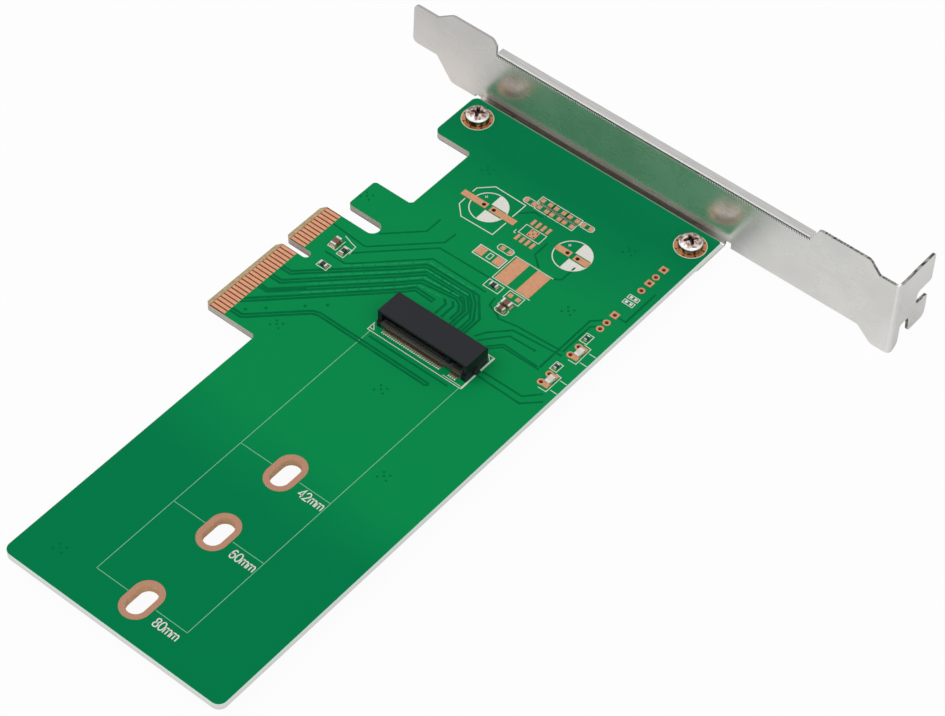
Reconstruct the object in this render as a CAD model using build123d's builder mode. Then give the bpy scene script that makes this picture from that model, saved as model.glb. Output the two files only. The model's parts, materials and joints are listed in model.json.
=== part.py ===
from build123d import *
import os

# NVMe adapter card, millimetres.
# Origin on the contact edge, at the middle of its key notch and of the board's thickness.
# +X runs up the card, +Y runs along it to the bracket, +Z is the component side.

# Board
board_t = 1.6
board_low = 13.2        # lower edge of the main field, above the contact edge
board_high = 66.0       # upper edge
board_rear = 55.5       # edge beside the bracket
board_tail = 8.05       # board beyond the last stud slot
board_corner = 1.8
board_rear_corner = 0.5

# Card-edge connector
contact_pitch = 1.0
contact_w = 0.7
contact_t = 0.05
contact_start = 1.35
contact_end = 5.0
short_count = 11
long_count = 21
key_w = 1.9
key_depth = 7.3
key_margin = 0.55       # key wall to the nearest contact's middle
side_margin = 0.65      # outer side to the nearest contact's middle
bevel_len = 1.25
bevel_depth = 0.45
tongue_corner = 0.9

# Retention hook and its gap
hook_gap = 3.45
hook_w = 8.05
hook_low = 3.7
hook_corner = 0.8

# Ear that carries the lower bracket screw
ear_w = 13.3
ear_low = 3.45
ear_corner = 1.6
inner_corner = 0.6

# Bracket screws, their holes and their ring pads
screw_inset_low = 4.35   # lower screw above the ear's lower edge
screw_inset_high = 4.1   # upper screw under the board's upper edge
screw_inset_rear = 4.8   # both screws ahead of the board's rear edge
screw_hole_d = 3.2
screw_d = 2.9
screw_len = 4.0
head_d = 5.5
head_flat = 3.4         # flat middle of the head
head_h = 2.1
head_rim = 1.1          # height of the head's straight side
recess_span = 2.9
recess_w = 0.75
recess_depth = 1.25
recess_taper = 8
screw_pad_d = 6.5
screw_pad_sides = 24

# Module seat: socket datum, centre line and the three stud slots
module_x = 39.95
module_y = -1.35
stud_lengths = (42.0, 60.0, 80.0)
stud_w = 4.0
stud_len = 7.0
plating = 0.15
stud_ring = 1.2

# Module socket
socket_w = 21.9
socket_h = 4.2
socket_front = 3.75     # front face ahead of the module datum
socket_back = 2.95      # rear face behind it
mouth_w = 20.0
mouth_low = 1.55
mouth_high = 2.85
mouth_back = 0.25       # floor of the mouth behind the module datum
mouth_flare = 0.8
roof_back = 0.3         # roof's front edge behind the lip's
key_offset = 6.125
key_wall = 1.0
lip_rise = 0.85         # clearance under the front lip, where the tails pass
lip_t = 0.5
pin_pitch = 0.5
pin_t = 0.2
pin_gauge = 0.12
pin_slit = 0.26
front_count = (29, 4)   # contacts of the lower row on each side of the key
rear_count = (29, 5)    # and of the upper row
front_offset = 9.0      # first contact of each row from the socket's middle
rear_offset = 9.25
tail_front = 0.75       # tail ahead of the housing
tail_rear = 1.45        # tail behind it
groove = 0.3            # depth of the upper contacts' grooves in the roof
peg_d = 1.1
peg_len = 1.2
peg_sides = 12
peg_clear = 0.05
anchor_t = 0.25
anchor_w = 1.4
anchor_h = 0.9
anchor_foot = 0.6

# Bracket: one folded sheet
sheet = 0.6
bend_r = 0.4
bracket_gap = 1.2       # board's rear edge to the plate
bracket_len = 120.02
plate_w = 18.42
plate_below = 0.15      # plate's lower edge under the board
tip_reach = 22.3        # lower screw's centre to the plate's tip
tip_slant = 0.3
tip_w = 10.3
tip_drop = 2.8          # tip's edge under the plate's upper edge
tip_straight = 6.4
tip_taper = 4.0
tip_corner = 1.2
flange_drop = 3.27      # flange's face under the plate's upper edge
flange_round = 0.2
flange_depth = 2.1      # from the plate's inner face
flange_start = 7.35
flange_stop = 20.8      # flange's end to the tab's outer face
flange_shear = 0.05     # cut between the flange's ends and the plate
shoulder_w = 1.0        # plate's slope down to the flange's lower end
shoulder_drop = 1.5
slope_w = 1.8           # and to its upper end
slope_round = 1.2
relief_w = 1.5          # notch at each foot's outer side
relief_rise = (0.6, 1.25)       # lower and upper notch, above the foot's upper face
tab_step = 2.7          # tab's upper edge under the plate's
tab_flare = 3.15        # tab's lower edge under the plate's
step_end = 3.8          # end of the upper step, short of the tab's fold
step_run = 2.45
flare_run = 3.35
tab_depth = 12.2
neck = 2.7              # strip of the tab that keeps the full lower edge
neck_round = 2.0
tab_corner = 0.8
notch_w = 3.6           # open notch for the chassis screw
notch_mid = 9.2         # its middle under the tab's upper edge
notch_len = 4.7
notch_corner = 1.0
heel_w = 2.8            # lower notch beside the neck
lobe_web = 1.85         # tab left between the two notches
heel_corner = 0.35
lobe_rise = 1.65        # outer lobe's edge above the neck's
lobe_short = 0.6        # outer lobe's end short of the prong's
lobe_lean = 0.6         # slope of the lobe's inner side
lobe_corner = 1.5
foot_w = 8.1
foot_len = 9.9
foot_corner = 1.6
foot_hole_d = 3.0

# Bare footprints, all copper of the contacts' thickness
cap_pitch = 2.5
lead_hole_d = 0.8
lead_sides = 8
round_sides = 12
strip_over = 0.8        # strip beyond its lead hole
cap_a = (25.4, 32.95)   # middle between its two leads
cap_a_reach = 6.7
cap_b = (46.1, 33.5)
cap_b_reach = 4.1
strip_w = 1.5
header_inset = 4.1      # header pads under the board's upper edge
header_pitch = 2.54
header_y = (13.35, 17.95, 28.85)    # square pads ahead of the board's rear edge, a round one beside each
lone_y = 33.45                      # the round pad that has no square one
header_pad_d = 1.6
edge_pad = 0.6          # two bare chip footprints beside the upper header
edge_pad_pitch = 1.08
edge_pad_inset = 4.0    # under the board's upper edge
edge_pad_y = (24.65, 23.1)          # ahead of the board's rear edge, as the header pads are
choke_x = 42.4
choke_y = 22.6
choke_pad = (3.2, 7.0)
choke_pitch = 5.25
chip_x = 36.62
chip_y = 32.95
chip_pitch = 1.27
chip_row = 5.1
chip_pad = (0.68, 1.65)
chip_slug = 2.0
fuse_x = 33.9
fuse_y = 22.9
fuse_pad = (1.9, 2.1)
fuse_pitch = 4.35
pair_pad = 1.0
pair_pitch = 1.85
row_rear = (38.45, 41.4)            # middle of each row of pad pairs
row_rear_step = 3.38
row_front = (35.45, 39.5)
row_front_step = 3.15
row_count = 4
lone_pairs = ((35.45, 26.25), (44.45, 17.5))

# Fitted chips: middle on the board and the side they lie along
chip_len = 1.7
chip_wide = 0.9
chip_high = 0.5
chip_end = 0.35
resistors = ((11.6, 5.2, 90), (10.9, 0.0, 0), (39.5, 17.3, 0))
small_len = 1.2
small_wide = 0.6
small_high = 0.4
small_end = 0.25
small_resistors = ((61.6, 9.1, 90), (61.6, 18.4, 90))
capacitor_len = 2.2
capacitor_wide = 1.3
capacitor_high = 0.9
capacitor_end = 0.45
capacitors = ((9.0, 5.9, 90), (44.5, 15.1, 0))
capacitor_small = (44.5, 13.3, 0)
led_y = (14.5, 5.6)
led_inset = 3.2
led_lead_inset = 4.33
led_len = 2.0
led_wide = 1.25
led_high = 0.6
led_end = 0.4
led_pad = (1.5, 1.4)
led_pad_pitch = 2.4

# What follows from those sizes
face = board_t / 2
back = -board_t / 2
copper = face + contact_t
short_edge = key_w / 2 + key_margin + (short_count - 1) * contact_pitch + side_margin
long_edge = -(key_w / 2 + key_margin + (long_count - 1) * contact_pitch + side_margin)
hook_near = short_edge + hook_gap
hook_far = hook_near + hook_w
ear_near = board_rear - ear_w
studs = [(module_x, module_y - length) for length in stud_lengths]
board_far = studs[-1][1] - board_tail
screw_y = board_rear - screw_inset_rear
screws = ((ear_low + screw_inset_low, screw_y), (board_high - screw_inset_high, screw_y))
header_x = board_high - header_inset
square_rows = [board_rear - distance for distance in header_y]
round_rows = [y - header_pitch for y in square_rows] + [board_rear - lone_y]
header_holes = [(header_x, y) for y in square_rows + round_rows]
edge_pad_spots = [(board_high - edge_pad_inset, board_rear - distance) for distance in edge_pad_y]
led_x = board_high - led_inset
led_lead_x = board_high - led_lead_inset
led_holes = [(led_lead_x, y + n * header_pitch) for y in led_y for n in (-0.5, 0.5)]
plate_y = board_rear + bracket_gap
bend_out = sheet + bend_r


def near(items, *points):
    """The items that lie closest to the given points."""
    return ShapeList([items.sort_by_distance(point)[0] for point in points])


def plug_rows(middle, count, offset):
    """X of the contacts of one row, on both sides of the socket's key."""
    first, second = count
    start = middle - offset
    wide = [start + pin_pitch * n for n in range(first)]
    return wide + [middle + offset - pin_pitch * n for n in range(second)]


# Circuit board
with BuildPart() as circuit_board:
    with BuildSketch(Plane.XY.offset(back)):
        with Locations((board_low, board_far)):
            Rectangle(board_high - board_low, board_rear - board_far, align=Align.MIN)
        with Locations((0, long_edge)):
            Rectangle(board_low, short_edge - long_edge, align=Align.MIN)
        with Locations((hook_low, hook_near)):
            Rectangle(board_low - hook_low, hook_w, align=Align.MIN)
        with Locations((ear_low, ear_near)):
            Rectangle(board_low - ear_low, ear_w, align=Align.MIN)
        with Locations((board_low - hook_gap / 2, short_edge)):
            Rectangle(hook_gap / 2, hook_gap, align=Align.MIN)
        with Locations((board_low - hook_gap / 2, short_edge + hook_gap / 2)):
            Circle(hook_gap / 2, mode=Mode.SUBTRACT)
        with Locations((0, -key_w / 2)):
            Rectangle(key_depth - key_w / 2, key_w, align=Align.MIN, mode=Mode.SUBTRACT)
        with Locations((key_depth - key_w / 2, 0)):
            Circle(key_w / 2, mode=Mode.SUBTRACT)
        outline = vertices()
        fillet(near(outline, (board_low, board_far), (board_high, board_far)), board_corner)
        outline = vertices()
        chamfer(near(outline, (board_high, board_rear)), board_rear_corner)
        outline = vertices()
        fillet(near(outline, (ear_low, ear_near), (ear_low, board_rear)), ear_corner)
        outline = vertices()
        fillet(near(outline, (hook_low, hook_near), (hook_low, hook_far)), hook_corner)
        outline = vertices()
        chamfer(near(outline, (0, long_edge), (0, short_edge), (0, -key_w / 2), (0, key_w / 2)), tongue_corner)
        outline = vertices()
        chamfer(near(outline, (board_low, long_edge), (board_low, hook_far), (board_low, ear_near)), inner_corner)
    extrude(amount=board_t)
    with BuildSketch(Plane.XZ.offset(-short_edge)):
        with BuildLine():
            Polyline((0, face), (bevel_len, face), (0, face - bevel_depth), close=True)
        make_face()
        mirror(about=Plane.XZ)
    extrude(amount=short_edge - long_edge, mode=Mode.SUBTRACT)
    with BuildSketch(Plane.XY.offset(back)):
        with Locations(*studs):
            SlotOverall(stud_len + 2 * plating, stud_w + 2 * plating, rotation=90)
        with Locations(*screws):
            Circle(screw_hole_d / 2)
        for cap in (cap_a, cap_b):
            with Locations(cap):
                with GridLocations(cap_pitch, 0, 2, 1):
                    RegularPolygon(lead_hole_d / 2, lead_sides)
        with Locations(*header_holes, *led_holes):
            RegularPolygon(lead_hole_d / 2, lead_sides)
        with Locations((module_x, module_y + socket_back - peg_d)):
            with GridLocations(socket_w - 1.4 * peg_d, 0, 2, 1):
                RegularPolygon(peg_d / 2 + peg_clear, peg_sides)
    extrude(amount=board_t, mode=Mode.SUBTRACT)
circuit_board.part.label = "circuit_board"

# Gold-finger rows: one copper strip per contact, laid on each face
contact_ys = [key_w / 2 + key_margin + n * contact_pitch for n in range(short_count)]
contact_ys += [-(key_w / 2 + key_margin + n * contact_pitch) for n in range(long_count)]

with BuildPart() as edge_contacts_top:
    with BuildSketch(Plane.XY.offset(face)):
        with Locations(*[(contact_start, y) for y in contact_ys]):
            Rectangle(contact_end - contact_start, contact_w, align=(Align.MIN, Align.CENTER))
    extrude(amount=contact_t)
edge_contacts_top.part.label = "edge_contacts_top"

with BuildPart() as edge_contacts_bottom:
    with BuildSketch(Plane.XY.offset(back)):
        with Locations(*[(contact_start, y) for y in contact_ys]):
            Rectangle(contact_end - contact_start, contact_w, align=(Align.MIN, Align.CENTER))
    extrude(amount=-contact_t)
edge_contacts_bottom.part.label = "edge_contacts_bottom"


# Plated stud slots: a barrel through the board with a ring on each face
def stud_eyelet(centre):
    with BuildPart() as eyelet:
        with BuildSketch(Plane.XY.offset(back)):
            with Locations(centre):
                SlotOverall(stud_len + 2 * plating, stud_w + 2 * plating, rotation=90)
        extrude(amount=board_t)
        for level, rise in ((face, contact_t), (back, -contact_t)):
            with BuildSketch(Plane.XY.offset(level)):
                with Locations(centre):
                    SlotOverall(stud_len + 2 * stud_ring, stud_w + 2 * stud_ring, rotation=90)
            extrude(amount=rise)
        with BuildSketch(Plane.XY.offset(back - contact_t)):
            with Locations(centre):
                SlotOverall(stud_len, stud_w, rotation=90)
        extrude(amount=board_t + 2 * contact_t, mode=Mode.SUBTRACT)
    return eyelet


stud_ring_42 = stud_eyelet(studs[0])
stud_ring_42.part.label = "stud_ring_42"
stud_ring_60 = stud_eyelet(studs[1])
stud_ring_60.part.label = "stud_ring_60"
stud_ring_80 = stud_eyelet(studs[2])
stud_ring_80.part.label = "stud_ring_80"


# Ring pads under the bracket screws
def ring_pad(centre):
    with BuildPart() as pad:
        with BuildSketch(Plane.XY.offset(face)):
            with Locations(centre):
                RegularPolygon(screw_pad_d / 2, screw_pad_sides)
                RegularPolygon(screw_hole_d / 2, screw_pad_sides, mode=Mode.SUBTRACT)
        extrude(amount=contact_t)
    return pad


screw_pad_lower = ring_pad(screws[0])
screw_pad_lower.part.label = "screw_pad_lower"
screw_pad_upper = ring_pad(screws[1])
screw_pad_upper.part.label = "screw_pad_upper"


# Pan-head screws with a cross recess
def pan_screw(centre):
    with BuildPart() as screw:
        with BuildSketch(Plane.XZ.offset(-centre[1])):
            with BuildLine():
                Polyline(
                    (centre[0], copper),
                    (centre[0], copper + head_h),
                    (centre[0] + head_flat / 2, copper + head_h),
                    (centre[0] + head_d / 2, copper + head_rim),
                    (centre[0] + head_d / 2, copper),
                    close=True,
                )
            make_face()
        revolve(axis=Axis((centre[0], centre[1], 0), (0, 0, 1)))
        with BuildSketch(Plane.XY.offset(copper)):
            with Locations(centre):
                Circle(screw_d / 2)
        extrude(amount=-screw_len)
        with BuildSketch(Plane.XY.offset(copper + head_h)):
            with Locations(centre):
                Rectangle(recess_span, recess_w)
                Rectangle(recess_w, recess_span)
        extrude(amount=-recess_depth, taper=recess_taper, mode=Mode.SUBTRACT)
    return screw


bracket_screw_lower = pan_screw(screws[0])
bracket_screw_lower.part.label = "bracket_screw_lower"
bracket_screw_upper = pan_screw(screws[1])
bracket_screw_upper.part.label = "bracket_screw_upper"

# Socket housing: mouth, key wall, grooved roof and slitted floor
mouth_floor = module_y + mouth_back
front_y = module_y - socket_front
rear_y = module_y + socket_back
front_xs = plug_rows(module_x, front_count, front_offset)
rear_xs = plug_rows(module_x, rear_count, rear_offset)
lip_y = front_y + lip_t
roof_y = front_y + roof_back

with BuildPart() as socket_housing:
    with BuildSketch(Plane.XY.offset(face)):
        with Locations((module_x, front_y)):
            Rectangle(socket_w, socket_front + socket_back, align=(Align.CENTER, Align.MIN))
    extrude(amount=socket_h)
    chamfer(
        socket_housing.faces().sort_by(Axis.Z)[-1].edges().filter_by(Axis.X).sort_by(Axis.Y)[-1:], 0.3
    )
    with BuildSketch(Plane.XY.offset(face + mouth_low)):
        with Locations((module_x, front_y)):
            Rectangle(socket_w, roof_back, align=(Align.CENTER, Align.MIN))
    extrude(amount=socket_h - mouth_low, mode=Mode.SUBTRACT)
    with BuildSketch(Plane.YZ.offset(module_x)):
        with BuildLine():
            Polyline(
                (roof_y, face + mouth_low),
                (mouth_floor, face + mouth_low),
                (mouth_floor, face + mouth_high),
                (roof_y + mouth_flare, face + mouth_high),
                (roof_y, face + mouth_high + mouth_flare),
                close=True,
            )
        make_face()
    extrude(amount=mouth_w / 2, both=True, mode=Mode.SUBTRACT)
    with BuildSketch(Plane.XY.offset(face)):
        with Locations((module_x, front_y)):
            Rectangle(mouth_w - 0.6, lip_t, align=(Align.CENTER, Align.MIN))
    extrude(amount=lip_rise, mode=Mode.SUBTRACT)
    with BuildSketch(Plane.XY.offset(face + mouth_low)):
        with Locations((module_x + key_offset, mouth_floor)):
            Rectangle(key_wall, mouth_floor - lip_y, align=(Align.CENTER, Align.MAX))
    extrude(amount=mouth_high - mouth_low)
    with BuildSketch(*[Plane.YZ.offset(x - pin_slit / 2) for x in front_xs]):
        with Locations((lip_y, face)):
            Rectangle(mouth_floor - lip_y - lip_t, mouth_low, align=Align.MIN)
    extrude(amount=pin_slit, mode=Mode.SUBTRACT)
    with BuildSketch(*[Plane.YZ.offset(x - pin_slit / 2) for x in rear_xs]):
        with Locations((mouth_floor, face)):
            Rectangle(rear_y - mouth_floor, mouth_high + groove, align=Align.MIN)
        with Locations((mouth_floor, face + mouth_high)):
            Rectangle(mouth_floor - lip_y, groove, align=(Align.MAX, Align.MIN))
    extrude(amount=pin_slit, mode=Mode.SUBTRACT)
    with BuildSketch(Plane.XY.offset(face)):
        with Locations((module_x, rear_y - peg_d)):
            with GridLocations(socket_w - 1.4 * peg_d, 0, 2, 1):
                RegularPolygon(peg_d / 2, peg_sides)
    extrude(amount=-peg_len)
socket_housing.part.label = "socket_housing"

# Socket contacts: formed strips, on the board at their tails and sprung into the mouth
gauge = pin_gauge / 2
with BuildPart() as socket_contacts_front:
    with BuildSketch(*[Plane.YZ.offset(x) for x in front_xs]):
        with BuildLine():
            Polyline(
                (front_y - tail_front, face + gauge),
                (lip_y + 0.05, face + gauge),
                (mouth_floor - 1.2, face + mouth_low + 0.2),
                (mouth_floor - 0.75, face + mouth_low - 0.15),
            )
        trace(line_width=pin_gauge)
    extrude(amount=pin_t / 2, both=True)
socket_contacts_front.part.label = "socket_contacts_front"

with BuildPart() as socket_contacts_rear:
    with BuildSketch(*[Plane.YZ.offset(x) for x in rear_xs]):
        with BuildLine():
            Polyline(
                (rear_y + tail_rear, face + gauge),
                (rear_y - 0.5, face + gauge),
                (rear_y - 1.0, face + 0.5 * groove + mouth_high),
                (lip_y + 1.2, face + 0.5 * groove + mouth_high),
                (lip_y + 0.6, face + mouth_high - 0.35),
            )
        trace(line_width=pin_gauge)
    extrude(amount=pin_t / 2, both=True)
socket_contacts_rear.part.label = "socket_contacts_rear"


# Solder anchors on the socket's end faces
def solder_anchor(side):
    end_x = module_x + side * socket_w / 2
    with BuildPart() as anchor:
        with BuildSketch(Plane.XZ.offset(-(mouth_floor - anchor_w / 2))):
            with BuildLine():
                Polyline(
                    (end_x, face),
                    (end_x + side * anchor_foot, face),
                    (end_x + side * anchor_foot, face + anchor_t),
                    (end_x + side * anchor_t, face + anchor_t),
                    (end_x + side * anchor_t, face + anchor_h),
                    (end_x, face + anchor_h),
                    close=True,
                )
            make_face()
        extrude(amount=anchor_w / 2, both=True)
    return anchor


socket_anchor_low = solder_anchor(-1)
socket_anchor_low.part.label = "socket_anchor_low"
socket_anchor_high = solder_anchor(1)
socket_anchor_high.part.label = "socket_anchor_high"

# Bracket levels: plate, flange, tab and feet
plate_low = back - plate_below
plate_high = plate_low + plate_w
tip_x = screws[0][0] - tip_reach
tab_x = tip_x + bracket_len
bend_x = tab_x - bend_out
flange_top = plate_high - flange_drop
flange_end = tab_x - flange_stop
tab_high = plate_high - tab_step
tab_low = plate_low - tab_flare
tip_high = plate_high - tip_drop
tip_low = tip_high - tip_w
fold_z = flange_top - flange_round
slope_x = flange_end + flange_shear + slope_w
shoulder_x = flange_start - flange_shear
foot_face = back
notch_z = tab_high - notch_mid
neck_y = plate_y + neck
tab_end = plate_y + tab_depth
heel_z = notch_z - notch_w / 2 - lobe_web
lobe_y = neck_y + heel_w

with BuildPart() as bracket:
    # Plate with its tip, the dropped edge for the flange and the stepped end for the tab
    with BuildSketch(Plane.XZ.offset(-plate_y)):
        with BuildLine():
            Polyline(
                (tip_x, tip_low),
                (tip_x + tip_straight, tip_low),
                (tip_x + tip_straight + tip_taper, plate_low),
                (bend_x - flare_run - flare_run, plate_low),
                (bend_x - flare_run, tab_low),
                (bend_x, tab_low),
                (bend_x, tab_high),
                (bend_x - step_end, tab_high),
                (bend_x - step_end - step_run, plate_high),
                (slope_x, plate_high),
                (flange_end + flange_shear, fold_z),
                (shoulder_x, fold_z),
                (shoulder_x, plate_high - shoulder_drop),
                (shoulder_x - shoulder_w, plate_high),
                (tip_x + tip_straight + tip_taper, plate_high),
                (tip_x + tip_straight, tip_high),
                (tip_x + tip_slant, tip_high),
                close=True,
            )
        make_face()
        outline = vertices()
        fillet(near(outline, (tip_x, tip_low), (tip_x + tip_slant, tip_high)), tip_corner)
        outline = vertices()
        fillet(near(outline, (slope_x, plate_high)), slope_round)
        outline = vertices()
        chamfer(
            near(
                outline,
                (tip_x + tip_straight + tip_taper, plate_low),
                (tip_x + tip_straight + tip_taper, plate_high),
                (bend_x - flare_run, tab_low),
                (bend_x - step_end - step_run, plate_high),
                (shoulder_x - shoulder_w, plate_high),
            ),
            bend_r,
        )
        for (x, y), rise, outer in zip(screws, relief_rise, (-1, 1)):
            with Locations((x + outer * relief_w / 2, plate_low)):
                Rectangle(
                    foot_w + relief_w, foot_face + rise - plate_low,
                    align=(Align.CENTER, Align.MIN), mode=Mode.SUBTRACT,
                )
            with Locations((x, foot_face + bend_r)):
                Rectangle(foot_w, rise - bend_r, align=(Align.CENTER, Align.MIN))
    extrude(amount=-sheet)
    # Flange folded away from the board
    with BuildSketch(Plane.YZ.offset(flange_start)):
        with BuildLine():
            RadiusArc((plate_y, fold_z), (plate_y + flange_round, flange_top), flange_round)
            Polyline(
                (plate_y + flange_round, flange_top),
                (plate_y + flange_depth, flange_top),
                (plate_y + flange_depth, flange_top - sheet),
                (plate_y, flange_top - sheet),
                (plate_y, fold_z),
            )
        make_face()
    extrude(amount=flange_end - flange_start)
    # Feet folded under the board, tapped for the screws
    for x, y in screws:
        with BuildSketch(Plane.YZ.offset(x)):
            with BuildLine():
                Line((plate_y + sheet, foot_face + bend_r), (plate_y, foot_face + bend_r))
                RadiusArc((plate_y, foot_face + bend_r), (plate_y - bend_r, foot_face), bend_r)
                Polyline(
                    (plate_y - bend_r, foot_face),
                    (plate_y - foot_len, foot_face),
                    (plate_y - foot_len, foot_face - sheet),
                    (plate_y - bend_r, foot_face - sheet),
                )
                RadiusArc((plate_y - bend_r, foot_face - sheet), (plate_y + sheet, foot_face + bend_r), -bend_out)
            make_face()
        extrude(amount=foot_w / 2, both=True)
        corners = bracket.edges().filter_by(Axis.Z).sort_by(Axis.Y)
        fillet(
            near(
                corners,
                (x - foot_w / 2, plate_y - foot_len, foot_face - sheet / 2),
                (x + foot_w / 2, plate_y - foot_len, foot_face - sheet / 2),
            ),
            foot_corner,
        )
        with BuildSketch(Plane.XY.offset(foot_face)):
            with Locations((x, y)):
                Circle(foot_hole_d / 2)
        extrude(amount=-sheet, mode=Mode.SUBTRACT)
    # Screw tab folded away from the board
    with BuildSketch(Plane.XY.offset(tab_low)):
        with BuildLine():
            Line((bend_x, plate_y + sheet), (bend_x, plate_y))
            RadiusArc((bend_x, plate_y), (tab_x, plate_y + bend_out), -bend_out)
            Polyline(
                (tab_x, plate_y + bend_out),
                (tab_x, plate_y + tab_depth),
                (tab_x - sheet, plate_y + tab_depth),
                (tab_x - sheet, plate_y + bend_out),
            )
            RadiusArc((tab_x - sheet, plate_y + bend_out), (bend_x, plate_y + sheet), bend_r)
        make_face()
    extrude(amount=tab_high - tab_low)
    with BuildSketch(Plane.YZ.offset(tab_x)):
        with Locations((tab_end - notch_len, notch_z)):
            Rectangle(notch_len, notch_w, align=(Align.MIN, Align.CENTER))
        with Locations((tab_end - lobe_short, tab_low)):
            Rectangle(lobe_short, notch_z - tab_low, align=Align.MIN)
        with BuildLine():
            Polyline(
                (neck_y, tab_low),
                (neck_y, heel_z),
                (lobe_y, heel_z),
                (lobe_y + lobe_lean, tab_low + lobe_rise),
                (tab_end, tab_low + lobe_rise),
                (tab_end, tab_low),
                close=True,
            )
        make_face()
    extrude(amount=-sheet, mode=Mode.SUBTRACT)
    for size, spots in (
        (tab_corner, ((tab_end, tab_high),)),
        (notch_corner, ((tab_end - notch_len, notch_z - notch_w / 2), (tab_end - notch_len, notch_z + notch_w / 2))),
        (lobe_corner, ((tab_end - lobe_short, tab_low + lobe_rise),)),
        (tab_corner, ((lobe_y + lobe_lean, tab_low + lobe_rise),)),
    ):
        across = bracket.edges().filter_by(Axis.X)
        fillet(near(across, *[(tab_x - sheet / 2, y, z) for y, z in spots]), size)
    across = bracket.edges().filter_by(Axis.X)
    chamfer(
        near(
            across,
            (tab_x - sheet / 2, tab_end - lobe_short, notch_z - notch_w / 2),
            (tab_x - sheet / 2, tab_end, notch_z + notch_w / 2),
            (tab_x - sheet / 2, neck_y, heel_z),
            (tab_x - sheet / 2, lobe_y, heel_z),
        ),
        heel_corner,
    )
    with BuildSketch(Plane.YZ.offset(tab_x)):
        with BuildLine():
            Polyline((neck_y, tab_low + neck_round), (neck_y, tab_low), (neck_y - neck_round, tab_low))
            RadiusArc((neck_y, tab_low + neck_round), (neck_y - neck_round, tab_low), neck_round)
        make_face()
    extrude(amount=-bend_out, mode=Mode.SUBTRACT)
bracket.part.label = "bracket"

# Bare copper footprints
flat = Plane.XY.offset(face)


def lead_pads(centre, reach):
    with BuildPart() as pads:
        with BuildSketch(flat):
            for side in (-1, 1):
                inner = cap_pitch / 2 - strip_over
                with Locations((centre[0] + side * (inner + reach) / 2, centre[1])):
                    Rectangle(reach - inner, strip_w)
                with Locations((centre[0] + side * cap_pitch / 2, centre[1])):
                    RegularPolygon(lead_hole_d / 2, lead_sides, mode=Mode.SUBTRACT)
        extrude(amount=contact_t)
    return pads


capacitor_pads_low = lead_pads(cap_a, cap_a_reach)
capacitor_pads_low.part.label = "capacitor_pads_low"
capacitor_pads_high = lead_pads(cap_b, cap_b_reach)
capacitor_pads_high.part.label = "capacitor_pads_high"


def header_pads(squares, rounds):
    with BuildPart() as pads:
        with BuildSketch(flat):
            with Locations(*[(header_x, y) for y in squares]):
                Rectangle(header_pad_d, header_pad_d)
            with Locations(*[(header_x, y) for y in rounds]):
                RegularPolygon(header_pad_d / 2, round_sides)
            with Locations(*[(header_x, y) for y in squares + rounds]):
                RegularPolygon(lead_hole_d / 2, lead_sides, mode=Mode.SUBTRACT)
        extrude(amount=contact_t)
    return pads


header_pads_rear = header_pads(square_rows[:2], round_rows[:2])
header_pads_rear.part.label = "header_pads_rear"
header_pads_front = header_pads(square_rows[2:], round_rows[2:])
header_pads_front.part.label = "header_pads_front"

with BuildPart() as edge_pads:
    with BuildSketch(flat):
        with Locations(*edge_pad_spots):
            with GridLocations(edge_pad_pitch, 0, 2, 1):
                Rectangle(edge_pad, edge_pad)
    extrude(amount=contact_t)
edge_pads.part.label = "edge_pads"

with BuildPart() as choke_pads:
    with BuildSketch(flat):
        with Locations((choke_x, choke_y)):
            with GridLocations(choke_pitch, 0, 2, 1):
                Rectangle(*choke_pad)
    extrude(amount=contact_t)
choke_pads.part.label = "choke_pads"

with BuildPart() as regulator_pads:
    with BuildSketch(flat):
        with Locations((chip_x, chip_y)):
            with GridLocations(chip_pitch, chip_row, 4, 2):
                Rectangle(*chip_pad)
            Rectangle(chip_slug, chip_slug)
    extrude(amount=contact_t)
regulator_pads.part.label = "regulator_pads"

with BuildPart() as fuse_pads:
    with BuildSketch(flat):
        with Locations((fuse_x, fuse_y)):
            with GridLocations(fuse_pitch, 0, 2, 1):
                Rectangle(*fuse_pad)
    extrude(amount=contact_t)
fuse_pads.part.label = "fuse_pads"

with BuildPart() as pair_pads:
    with BuildSketch(flat):
        for middle, step in ((row_rear, row_rear_step), (row_front, row_front_step)):
            with Locations(middle):
                with GridLocations(step, 0, row_count, 1):
                    with GridLocations(pair_pitch, 0, 2, 1):
                        Rectangle(pair_pad, pair_pad)
        with Locations(*lone_pairs):
            with GridLocations(pair_pitch, 0, 2, 1):
                Rectangle(pair_pad, pair_pad)
    extrude(amount=contact_t)
pair_pads.part.label = "pair_pads"

with BuildPart() as led_pads:
    with BuildSketch(flat):
        with Locations(*led_holes):
            RegularPolygon(header_pad_d / 2, round_sides)
        with Locations(*[(led_x, y) for y in led_y]):
            with GridLocations(0, led_pad_pitch, 1, 2):
                Rectangle(*led_pad)
        with Locations(*led_holes):
            RegularPolygon(lead_hole_d / 2, lead_sides, mode=Mode.SUBTRACT)
    extrude(amount=contact_t)
led_pads.part.label = "led_pads"


# Fitted chips stand on their own copper pads, each with a plated end cap on both ends
def turned(spots):
    return [Location((x, y, 0), (0, 0, angle)) for x, y, angle in spots]


def chip_bodies(kinds):
    with BuildPart() as bodies:
        for spots, length, wide, high, end in kinds:
            with BuildSketch(Plane.XY.offset(copper)):
                with Locations(*turned(spots)):
                    Rectangle(length - 2 * end, wide)
            extrude(amount=high)
    return bodies


def chip_caps(kinds):
    with BuildPart() as caps:
        for spots, length, wide, high, end in kinds:
            with BuildSketch(Plane.XY.offset(copper)):
                with Locations(*turned(spots)):
                    with GridLocations(length - end, 0, 2, 1):
                        Rectangle(end, wide)
            extrude(amount=high)
    return caps


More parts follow.
